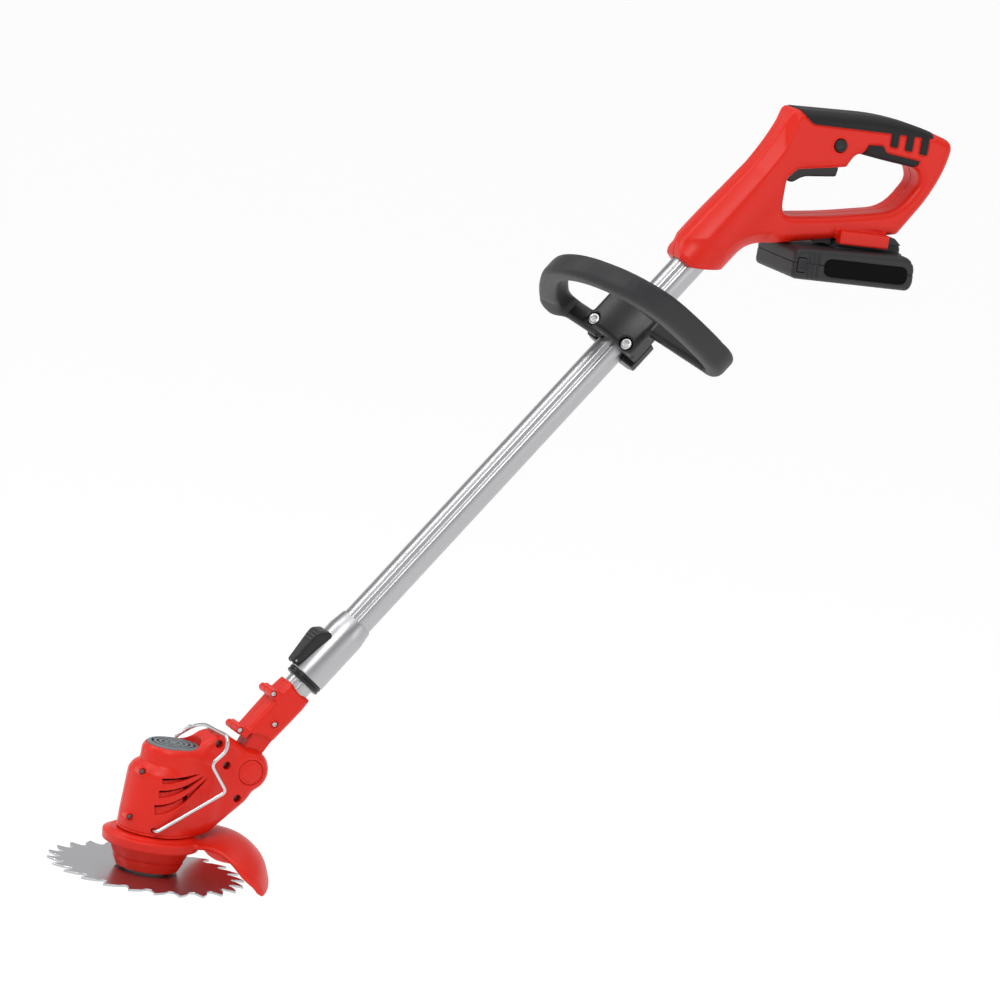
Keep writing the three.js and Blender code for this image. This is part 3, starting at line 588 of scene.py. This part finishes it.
def stem():
    grid = Grid((-22, 32), (-16, 16), (-20, 73), FINE)
    x, y, z = grid.x, grid.y, grid.z
    from_pivot = np.hypot(x - PIVOT_OFFSET, z)
    shaft = slab(polygon(rounded([
        (-11.4, 8), (-12.4, 61, 3), (-11.4, 70), (11.4, 70), (12.4, 61, 3), (11.2, 14, 4), (8, 4),
    ]), x, z), y, STEM_SIDE, 5.5)
    angle = np.degrees(np.arctan2(z, x - PIVOT_OFFSET) - POLE_ANGLE)
    swept = np.where((angle > 42) & (angle < 130), 29.5, CHEEK_RADIUS + 1.4)
    shaft = np.maximum(shaft, swept - from_pivot)
    towers = together(*(
        rod(x - sx, z - sz, TOWER_RADIUS, y, -STEM_SEATS[i], 12) for i, (sx, sz) in enumerate(STEM_SCREWS)
    ))
    webs = together(*(
        block(x, y, z, (sx, -STEM_SEATS[0], sz - 2), (-8, 12, sz + 4.5)) for sx, sz in STEM_SCREWS[:2]
    ))
    tongue = together(
        np.maximum(from_pivot - TONGUE_RADIUS, np.abs(y) - TONGUE_SIDE),
        slab(polygon(rounded([(-1, 4), (-9, 40), (10, 40), (13, 10)]), x, z), y, TONGUE_SIDE, 0.6),
    )
    body = soft_min(shaft, together(towers, webs, blend=1), 1.6)
    body = np.minimum(body, tongue)
    wells = [
        rod(x - sx, z - sz, 2.4, y, -30, 2.6 - STEM_SEATS[i]) for i, (sx, sz) in enumerate(STEM_SCREWS)
    ]
    socket = rod(x, y, INNER_TUBE_RADIUS + CLEARANCE, z, 29.5, 90)
    pin = rod(x - PIVOT_OFFSET, z, 4.2, y, -30, 30)
    body = without(body, *wells, socket, pin)
    add_halves("stem", body, grid, POLE, "lower_pole", FINISH["red"])


def tube_outline(radius, segments=144, width=0.16):
    """A circle with one rounded groove pressed in along its length."""
    points = []
    for k in range(segments):
        angle = 2 * math.pi * k / segments
        away = math.remainder(angle - GROOVE_ANGLE, 2 * math.pi) / width
        depth = GROOVE_DEPTH * math.exp(-away * away)
        points.append(((radius - depth) * math.cos(angle), (radius - depth) * math.sin(angle)))
    return points


def add_tube(name, radius, start, end, body, nodes):
    builder = bmesh.new()
    outer, inner = tube_outline(radius), tube_outline(radius - TUBE_WALL)
    levels = [(inner, start + 0.3), (inner, start), (outer, start), (outer, start + 0.3),
              (outer, end - 0.3), (outer, end), (inner, end), (inner, end - 0.3)]
    rings = [[builder.verts.new((*p, height)) for p in line] for line, height in levels]
    for low, high in zip(rings, rings[1:] + rings[:1]):
        for k in range(len(outer)):
            builder.faces.new((low[k], low[k - 1], high[k - 1], high[k]))
    bmesh.ops.recalc_face_normals(builder, faces=builder.faces)
    return add_bmesh(name, builder, POLE, body, FINISH["tube"], nodes, crease=40)


def tube_sleeve():
    start, end = SLEEVE
    add_turned("lock_sleeve", [
        (12.3, start), (14.6, start), (15, start + 0.5), (15, 125.5), (14.8, 126.6), (13.1, end - 0.6),
        (12.8, end), (12.3, end),
    ], POLE, "handle", FINISH["tube"], [])
    grid = Grid((-21, -11), (-4, 4), (81, 91), FINE * 0.6)
    x, y, z = grid.x, grid.y, grid.z
    lug = slab(polygon(rounded([
        (-18.6, 83.6, 1.5), (-18.6, 87, 1.5), (-13, 89), (-13, 82.4),
    ]), x, z), y, 2.7, 0.5)
    lug = without(lug, rod(x + 17.4, z - 85, 1.1, y, -20, 20))
    add_field("sleeve_lug", lug, grid, POLE, "handle", FINISH["tube"], ["tube_sleeve"])


def tube_collar():
    add_turned("collar_ring", [
        (10.95, 76.4), (13.6, 76.4), (14.3, 76.9), (14.7, 77.6), (14.7, 78.6), (14.1, 78.9),
        (14.1, 79.3), (14.7, 79.6), (14.7, 81.2), (14.4, 81.6), (10.95, 81.6),
    ], POLE, "handle", FINISH["black"], ["tube_collar"])


def lock_lever():
    grid = Grid((-23, -8), (-12, 12), (81, 119), FINE * 0.8)
    x, y, z = grid.x, grid.y, grid.z
    side = polygon(rounded([
        (-19.9, 81.9, 1.8), (-21.6, 107, 3), (-21.6, 112, 3), (-15.8, 117.5, 2), (-9, 117.5),
        (-9, 86), (-15.8, 81.9, 0.8),
    ]), x, z)
    plan = polygon(rounded([
        (-5.6, 80), (5.6, 80), (10.4, 117), (10.4, 125), (-10.4, 125), (-10.4, 117),
    ]), y, z)
    ribs = together(*(
        block(x, y, z, (-30, -6.5, place), (-21.1, 6.5, place + 1.2), 0.4) for place in (103, 106, 109)
    ))
    tools = [rod(x, y, 15.4, z, 60, 160), rod(x, y, 16.6, z, 60, 85), ribs,
             block(x, y, z, (-19, -3.1, 70), (-10, 3.1, 89.8)), rod(x + 17.4, z - 85, 1.1, y, -20, 20)]
    add_field("lever", without(soft_max(side, plan, 3), *tools), grid, POLE, "tube_lock",
              FINISH["black"], ["lock_lever"])


# ---------------------------------------------------------------- loop handle
def smooth_step(value, low, high):
    t = np.clip((value - low) / (high - low), 0, 1)
    return t * t * (3 - 2 * t)


def loop_lean(u, v):
    """How far along the pole each place of the loop lies, and how full its width is there.

    The arch rises evenly from one end to the other. The two halves of the base keep their end's
    level up to the clamp, where one steps across to the other.
    """
    arch = np.maximum(smooth_step(v, 22, 47), smooth_step(np.abs(u), 58, 72))
    across = np.clip((u - 17) / 13, -1, 1)
    base = -across * (BASE_STEP + BASE_SLOPE * np.abs(u))
    return (1 - arch) * base - arch * LOOP_SLOPE * u, 0.82 + 0.18 * arch


def loop_handle():
    grid = Grid((-104, 62), (-3, 131), (-24, 44), COARSE)
    x, y, z = grid.x, grid.y, grid.z
    u = x - LOOP_OFFSET
    outer = polygon(rounded([
        (-72, 8, 12), (72, 8, 12), (78, 26, 14), (66, 69, 24), (49, 109, 26), (19, 128, 22),
        (-19, 128, 22), (-49, 109, 26), (-66, 69, 24), (-77, 28, 14),
    ]), u, y)
    inner = polygon(rounded([
        (-62, 17, 9), (62, 17, 9), (62.5, 28, 8), (53, 62, 20), (38, 96, 20), (14, 112, 14),
        (-14, 112, 14), (-38, 96, 20), (-53, 62, 20), (-62.5, 28, 8),
    ]), u, y)
    lean, width = loop_lean(u, y)
    along = (z - (LOOP_STATION - CLAMP_STATION) - lean) / width
    band = soft_max(soft_max(outer, np.abs(along) - LOOP_SIDE, 6), -inner, 6)
    saddle = block(x, y + SADDLE_CROWN * x * x, z, (-24.5, 0.4, -8), (24.5, 22, 26), 3.4)
    shoulders = block(np.abs(x), y, z, (20, 0.4, -8), (24.5, 9, 26), 1)
    body = soft_min(band, np.minimum(saddle, shoulders), 2.5)
    tools = [rod(x, y, TUBE_RADIUS + CLEARANCE, z, -90, 90), np.maximum(y - 0.35, np.abs(x) - 28)]
    for place in LOOP_BOLTS:
        tools.append(rod(x - place, z - BOLT_STATION, 2.8, y, -30, 14.5))
        tools.append(rod(x - place, z - BOLT_STATION, 5.2, y, 14.5, 60))
    body = without(body, *tools)
    core = block(u, y, z, (-57, -9, -60), (58, 24, 60))
    add_field("loop_grip", without(body, core), grid, CLAMP, "loop", FINISH["grey"], ["loop_handle"])
    add_field("loop_base", np.maximum(body, core), grid, CLAMP, "loop", FINISH["black"])


def loop_clamp_cap():
    grid = Grid((-26, 26), (-19, 2), (-13, 13), FINE)
    x, y, z = grid.x, grid.y, grid.z
    body = slab(polygon(rounded([
        (-24.5, -0.3), (-24.5, -8, 3), (-14, -17, 6), (14, -17, 6), (24.5, -8, 3), (24.5, -0.3),
    ]), x, y), z, 12, 1.4)
    tools = [rod(x, y, TUBE_RADIUS + CLEARANCE, z, -60, 60)]
    for place in LOOP_BOLTS:
        tools.append(rod(x - place, z - BOLT_STATION, 2.8, y, -30, 10))
        tools.append(rod(x - place, z - BOLT_STATION, 5.4, y, -30, -8.5))
    add_field("clamp_cap", without(body, *tools), grid, CLAMP, "loop", FINISH["black"],
              ["loop_clamp_cap"])


# ---------------------------------------------------------------- screws
def screw_head(radius, recess):
    """A pan head in the plane Z = 0, facing +Z, with a cross or a hexagon sunk in it."""
    grid = Grid((-radius - 1, radius + 1), (-radius - 1, radius + 1), (-3, 2), radius / 11)
    x, y, z = grid.x, grid.y, grid.z
    radial = np.hypot(x, y)
    head = polygon(rounded([(0, -1.9), (radius, -1.9), (radius, -0.4, 0.7), (0, 0.1)]), radial, z)
    if recess == "cross":
        arm = radius * 0.17
        tool = together(
            block(x, y, z, (-radius * 0.6, -arm, -1.1), (radius * 0.6, arm, 3)),
            block(x, y, z, (-arm, -radius * 0.6, -1.1), (arm, radius * 0.6, 3)),
        )
    else:
        tool = np.maximum(hexagon(x, y, radius * 0.5), -1.3 - z)
    return grid, without(head, tool)


def hexagon(x, y, reach):
    turns = (math.radians(60 * k) for k in range(3))
    return np.maximum.reduce([np.abs(x * math.cos(a) + y * math.sin(a)) for a in turns]) - reach


def add_screw(name, place, frame, radius, length, body, nodes, recess="cross", face="-Y",
              finish="steel"):
    """A screw whose head is at place and faces that way, with a plain shank behind it."""
    turn = Matrix.Rotation(math.pi / 2 if face == "-Y" else -math.pi / 2, 4, "X")
    here = frame @ Matrix.Translation(place) @ turn
    grid, head = screw_head(radius, recess)
    add_field(f"{name}_head", head, grid, here, body, FINISH[finish], nodes)
    add_turned(f"{name}_shank", [(0, -length), (radius * 0.4, 0.6 - length), (radius * 0.46, -1.8),
                                 (0, -1.8)],
               here, body, FINISH[finish], [], segments=20)


def all_screws():
    for i, screw in enumerate(HOUSING_SCREWS, 1):
        place = (screw[0], housing_seat(screw), screw[1])
        radius = 2 if screw in TOWER_SCREWS else 2.6
        # The housing screws take the darkened steel: painted shade on their heads.
        add_screw(f"housing_screw_{i}_detail", place, CUTTER, radius, 18, "head",
                  [f"housing_screw_{i}"], finish="screw")
    for i, (x, z) in enumerate(STEM_SCREWS, 1):
        seat = 0.4 - STEM_SEATS[i - 1]
        add_screw(f"stem_screw_{i}_detail", (x, seat, z), POLE, 2.1, 18 if i < 3 else 2.8,
                  "lower_pole", [f"stem_screw_{i}"])
    for i, x in enumerate(LOOP_BOLTS, 1):
        add_screw(f"loop_bolt_{i}_detail", (x, 19.4, BOLT_STATION), CLAMP, 4.4, 33, "loop",
                  [f"loop_bolt_{i}"], recess="hexagon", face="+Y")


# ---------------------------------------------------------------- rear handle
HANDLE = (
    (352, 521), (378, 557, 16), (400, 588, 14), (412, 609, 14), (420, 628.5, 5), (460, 629.6, 20),
    (495, 630.6, 20), (526, 627, 16), (560, 617.5, 9), (556, 596, 12), (546, 573, 14),
    (524, 541.2, 3), (472, 533.2), (426, 525.4, 14), (391, 519, 10), (380, 504),
)
OPENING = (
    (431, 583, 1), (423, 575, 4), (423, 546, 11), (465, 550.5, 14), (520, 560, 16), (536, 584, 10),
    (531, 595, 5), (505, 597.5, 10), (478, 601, 6), (471, 589, 1),
)
GRIP_AREA = ((424, 660), (424, 628, 4), (435, 618.8, 4), (497, 619, 3), (540, 618.8), (541, 660))
FINGER_RIBS = (503, 516, 529)
PALM_AREA = ((479, 590), (485, 609, 2), (498, 609.5, 2), (501, 604.5, 2), (532, 601, 2), (525, 590))
TRIGGER_HINGE = (466, 589)
LOCK_OFF = (461, 605.5)
HANDLE_SCREWS = ((402, 578), (414, 535), (450, 541.5), (541, 604))
FRONT_BEVEL = 9.5
BEVEL_END = 416


def along_pole(x, z):
    """How far up the pole a place is, and how far from the pole's centre plane."""
    dx, dz = x - POLE_FOOT[0], z - POLE_FOOT[1]
    up = dx * math.sin(POLE_ANGLE) + dz * math.cos(POLE_ANGLE)
    off = dz * math.sin(POLE_ANGLE) - dx * math.cos(POLE_ANGLE)
    return up, off


def handle_body(grid):
    x, y, z = grid.x, grid.y, grid.z
    side = polygon(rounded(HANDLE), x, z)
    plate = slab(side, y, HANDLE_SIDE, 8)
    front_bevel = (side + np.abs(y) - HANDLE_SIDE + FRONT_BEVEL) * math.sqrt(0.5)
    front_bevel -= 0.4 * np.maximum(x - BEVEL_END, 0)
    plate = soft_max(plate, front_bevel, 1.5)
    up, off = along_pole(x, z)
    neck = polygon(
        rounded([(0, NECK_START), (18.2, NECK_START, 1), (20.6, NECK_START + 3, 2),
                 (21, NECK_START + 40, 20), (15, NECK_START + 90, 10), (0, NECK_START + 96)]),
        np.hypot(off, y), np.broadcast_to(up, (grid.shape[0], 1, grid.shape[2])),
    )
    body = soft_min(plate, neck, 9)
    return soft_max(body, -polygon(rounded(OPENING), x, z), 7)


def grip_area(grid):
    x, z = grid.x, grid.z
    area = polygon(rounded(GRIP_AREA), x, z)
    for i, place in enumerate(FINGER_RIBS):
        low = 609 - 1.5 * i
        rib = polygon(rounded([(place, low, 1.5), (place + 7, low - 0.6, 1.5), (place + 7, 625),
                               (place, 625)]), x, z)
        area = soft_min(area, rib, 1.5)
    return area


def rear_handle():
    grid = Grid((346, 565), (-26, 26), (500, 634), COARSE)
    x, y, z = grid.x, grid.y, grid.z
    body = handle_body(grid)
    areas = [grip_area(grid), polygon(rounded(PALM_AREA), x, z)]
    skins = []
    for area in areas:
        edge = np.maximum(np.abs(area) - 0.5, -(body + 0.9))
        skins.append(np.maximum(body - 0.25, area + 0.35))
        body = without(body, edge)
    foot = together(
        block(x, y, z, (471, -25, 531.2), (513, 25, 541.8), 1.2),
        block(x, y, z, (471, -16.5, 536), (513, 16.5, 547), 1),
    )
    body = soft_min(body, foot, 1.2)
    ceiling = polygon([(440, 528.7), (530, 543.3), (530, 570), (440, 570)], x, z)
    rail_slot = together(
        block(x, y, z, (465, -21, 534.3), (530, 21, 548)),
        block(x, y, z, (465, -17, 520), (530, 17, 540)),
    )
    trigger_bay = slab(polygon([
        (422, 560), (424.5, 592), (434, 599), (468.5, 596), (470.8, 580),
    ], x, z), y, 6.8, 0.3)
    tools = [
        without(rail_slot, ceiling), trigger_bay,
        block(x, y, z, (428, -9, 596), (453, 9, 614)),
        block(x, y, z, (453, -12.4, 520), (470.5, 12.4, 546)),
        rod(x - LOCK_OFF[0], z - LOCK_OFF[1], 5.3, y, -30, -2.6),
    ]
    up, off = along_pole(x, z)
    tools.append(np.maximum(np.hypot(off, y) - TUBE_RADIUS - CLEARANCE, np.abs(up - 545) - 50))
    body = without(body, *tools)
    rim = np.abs(np.hypot(x - LOCK_OFF[0], z - LOCK_OFF[1]) - 6.3) - 0.7
    body = soft_min(body, np.maximum(rim, np.abs(y + HANDLE_SIDE) - 0.4), 0.6)
    add_halves("rear_housing", body, grid, CUTTER, "handle", FINISH["red"])
    names = (("grip_skin", "grip_overmould"), ("palm_skin", "palm_overmould"))
    for (name, node), skin in zip(names, skins):
        soft = soft_max(skin, -(skin + 2.4), 0.2)
        add_field(name, without(soft, *tools), grid, CUTTER, "handle", FINISH["grip"], [node])


def handle_screws():
    for i, (x, z) in enumerate(HANDLE_SCREWS, 1):
        # The handle screws take the darkened steel: painted shade on their heads.
        add_screw(f"handle_screw_{i}_detail", (x, 14.3, z), CUTTER, 2.6, 22, "handle",
                  [f"handle_screw_{i}"], face="+Y", finish="screw")


def trigger_lever():
    grid = Grid((424, 471), (-8, 8), (569, 597), FINE * 0.8)
    x, y, z = grid.x, grid.y, grid.z
    body = slab(polygon(rounded([
        (469, 587, 1), (468, 580, 2), (440, 577.3, 6), (432, 571.5, 3), (426.5, 573, 2),
        (428.5, 584, 2), (436, 592), (462, 594, 1),
    ]), x, z), y, 6.2, 1.8)
    pin = rod(x - TRIGGER_HINGE[0], z - TRIGGER_HINGE[1], 1.3, y, -10, 10)
    add_field("trigger_lever", without(body, pin), grid, CUTTER, "trigger", FINISH["black"], ["trigger"])


def lock_off_button():
    here = CUTTER @ Matrix.Translation((LOCK_OFF[0], 0, LOCK_OFF[1]))
    add_turned("lock_off_cap", [
        (0, -19.1), (2.6, -19.1), (3.6, -19.5), (4.4, -19.3), (5, -18.6), (5, -7), (0, -7),
    ], here @ Matrix.Rotation(-math.pi / 2, 4, "X"), "lock_off", FINISH["black"], ["lock_off_button"])


# ---------------------------------------------------------------- battery
def battery_body(grid):
    x, y, z = grid.x, grid.y, grid.z
    wide = slab(polygon(rounded([
        (BATTERY_FRONT, BATTERY_BOTTOM, 5), (BATTERY_REAR - 3, BATTERY_BOTTOM, 4),
        (BATTERY_REAR, BATTERY_BOTTOM + 6, 4), (BATTERY_REAR - 1, BATTERY_SHOULDER - 6, 5),
        (BATTERY_REAR - 8, BATTERY_SHOULDER, 5), (BATTERY_FRONT, BATTERY_SHOULDER - 2.5, 6),
    ]), x, z), y, BATTERY_SIDE, 4.5)
    rail = slab(polygon(rounded([
        (471.5, 524), (528, 524), (527, 534, 3), (519, 540.6, 3), (471.5, 532.4),
    ]), x, z), y, 20.5, 0.8)
    grooves = [
        block(x, np.abs(y), z, (460, 16.2, BATTERY_SHOULDER + 0.1), (540, 30, 534.6))
    ]
    body = soft_min(wide, without(rail, *grooves), 0.8)
    label = slab(polygon(rounded(label_outline(0.4)), x, z), y + BATTERY_SIDE, 0.9, 0.1)
    windows = block(x, np.abs(y), z, (433.7, 30, 508), (440.9, 50, 519), 0.3)
    fluting = together(*(
        block(x, np.abs(y), z, (place, 33.9, 504), (place + 1.8, 40, 524), 0.5)
        for place in (442.6, 446.4, 450.2)
    ))
    bay = block(x, y, z, (433.6, -33, 504.2), (532.4, 33, 523.7))
    return without(body, label, windows, fluting, bay)


def label_outline(grow):
    return [(457 - grow, 507 - grow, 7), (528 + grow, 507 - grow, 7),
            (528 + grow, 520 + grow, 7), (457 - grow, 520 + grow, 7)]


def battery():
    grid = Grid((428, 538), (-38, 38), (499, 543), COARSE)
    body = battery_body(grid)
    upper = soft_max(body, BATTERY_SPLIT + SPLIT_GAP - grid.z, SPLIT_EASE)
    lower = soft_max(body, grid.z - BATTERY_SPLIT + SPLIT_GAP, SPLIT_EASE)
    add_field("pack_upper", upper, grid, CUTTER, "battery", FINISH["grey"], ["battery_case_upper"])
    add_field("pack_lower", lower, grid, CUTTER, "battery", FINISH["grey"], ["battery_case_lower"])
    tile = Grid((455, 530), (-37, -33), (505, 522), FINE)
    label = slab(polygon(rounded(label_outline(0)), tile.x, tile.z), tile.y + BATTERY_SIDE - 0.2, 0.4, 0.1)
    add_field("pack_label", label, tile, CUTTER, "battery", FINISH["label"], ["battery_label"])


def latch_buttons():
    for side, name in ((-1, "left"), (1, "right")):
        y_range = sorted((side * 32, side * 37))
        grid = Grid((432, 443), y_range, (506, 521), FINE * 0.7)
        x, y, z = grid.x, grid.y * side, grid.z
        pad = block(x, y, z, (434, 33.4, 508.3), (440.6, 35.5, 518.7), 0.5)
        ribs = together(*(
            block(x, y, z, (place - 0.45, 35, 509.6), (place + 0.45, 36.1, 517.4), 0.3)
            for place in (435.6, 437.4, 439.2)
        ))
        add_field(f"latch_pad_{name}", soft_min(pad, ribs, 0.3), grid, CUTTER, f"latch_{name}",
                  FINISH["grey"], [f"latch_button_{name}"])


# ---------------------------------------------------------------- camera and light
def add_camera():
    """A long lens from low on the operator's left, rolled so that the machine leans."""
    azimuth, elevation, roll = (math.radians(a) for a in (-24.6, 9.48, -9.59))
    distance, shift = 4496, (-265.4, -276.6)
    right = Vector((math.cos(azimuth), math.sin(azimuth), 0))
    up = Vector((-math.sin(azimuth) * math.sin(elevation), math.cos(azimuth) * math.sin(elevation),
                 math.cos(elevation)))
    back = right.cross(up)
    tilted = right * math.cos(roll) - up * math.sin(roll), right * math.sin(roll) + up * math.cos(roll)
    place = back * distance - tilted[0] * shift[0] - tilted[1] * shift[1]
    data = bpy.data.cameras.new("camera")
    data.lens = 216
    data.sensor_width = 36
    data.clip_end = 100
    camera = bpy.data.objects.new("camera", data)
    turn = Matrix((tilted[0], tilted[1], back)).transposed().to_4x4()
    camera.matrix_world = Matrix.Translation((place - GRIP) * MM) @ turn
    bpy.context.collection.objects.link(camera)
    bpy.context.scene.camera = camera


def add_light(name, place, size, power, aim=Vector((-0.2, 0, -0.25))):
    data = bpy.data.lights.new(name, "AREA")
    data.shape = "RECTANGLE"
    data.size, data.size_y = size
    data.energy = power
    light = bpy.data.objects.new(name, data)
    light.location = place
    light.rotation_euler = (aim - Vector(place)).to_track_quat("-Z", "Y").to_euler()
    bpy.context.collection.objects.link(light)


def add_floor():
    mesh = bpy.data.meshes.new("floor")
    reach, drop = 30, -1.2
    corners = [(-reach, -reach, drop), (reach, -reach, drop), (reach, reach, drop), (-reach, reach, drop)]
    mesh.from_pydata(corners, [], [(0, 1, 2, 3)])
    mesh.materials.append(new_material("floor", (0.93, 0.93, 0.93), 0.9, glow=0.13))
    floor = bpy.data.objects.new("floor", mesh)
    bpy.context.collection.objects.link(floor)


def add_sky():
    """A studio: a bright ceiling and a pale horizon, with darker walls between them."""
    world = bpy.data.worlds.new("studio")
    world.use_nodes = True
    tree = world.node_tree
    place = tree.nodes.new("ShaderNodeTexCoord")
    split = tree.nodes.new("ShaderNodeSeparateXYZ")
    ramp = tree.nodes.new("ShaderNodeValToRGB")
    tree.links.new(place.outputs["Generated"], split.inputs["Vector"])
    tree.links.new(split.outputs["Z"], ramp.inputs["Fac"])
    tree.links.new(ramp.outputs["Color"], tree.nodes["Background"].inputs["Color"])
    tree.nodes["Background"].inputs["Strength"].default_value = SKY_STRENGTH
    stops = ((0.0, 0.68), (0.2, 0.6), (0.34, 0.2), (0.6, 0.22), (0.8, 0.9), (1.0, 1.0))
    while len(ramp.color_ramp.elements) < len(stops):
        ramp.color_ramp.elements.new(0.5)
    for element, (height, level) in zip(ramp.color_ramp.elements, stops):
        element.position = height
        element.color = (level, level, level, 1)
    bpy.context.scene.world = world


def add_stage():
    add_floor()
    add_sky()
    add_light("key", (-1.7, -1.5, 1.5), (0.9, 0.9), 20)
    add_light("strip", (-2.0, 0.9, 1.2), (0.25, 1.8), 14)
    add_light("fill", (1.2, -2.4, 0.2), (1.2, 1.2), 5)
    bpy.context.scene.view_settings.view_transform = "Standard"
    add_camera()


motor_housing()
top_vent()
tilt_button()
debris_guard()
spindle_shroud()
guard_wire()
saw_blade()
stem()
add_tube("pole_inner", INNER_TUBE_RADIUS, *INNER_TUBE, "lower_pole", ["inner_tube"])
add_tube("pole_outer", TUBE_RADIUS, SLEEVE[0] + 0.5, TUBE_END, "handle", ["outer_tube"])
tube_sleeve()
tube_collar()
lock_lever()
loop_handle()
loop_clamp_cap()
all_screws()
rear_handle()
handle_screws()
trigger_lever()
lock_off_button()
battery()
latch_buttons()
add_stage()
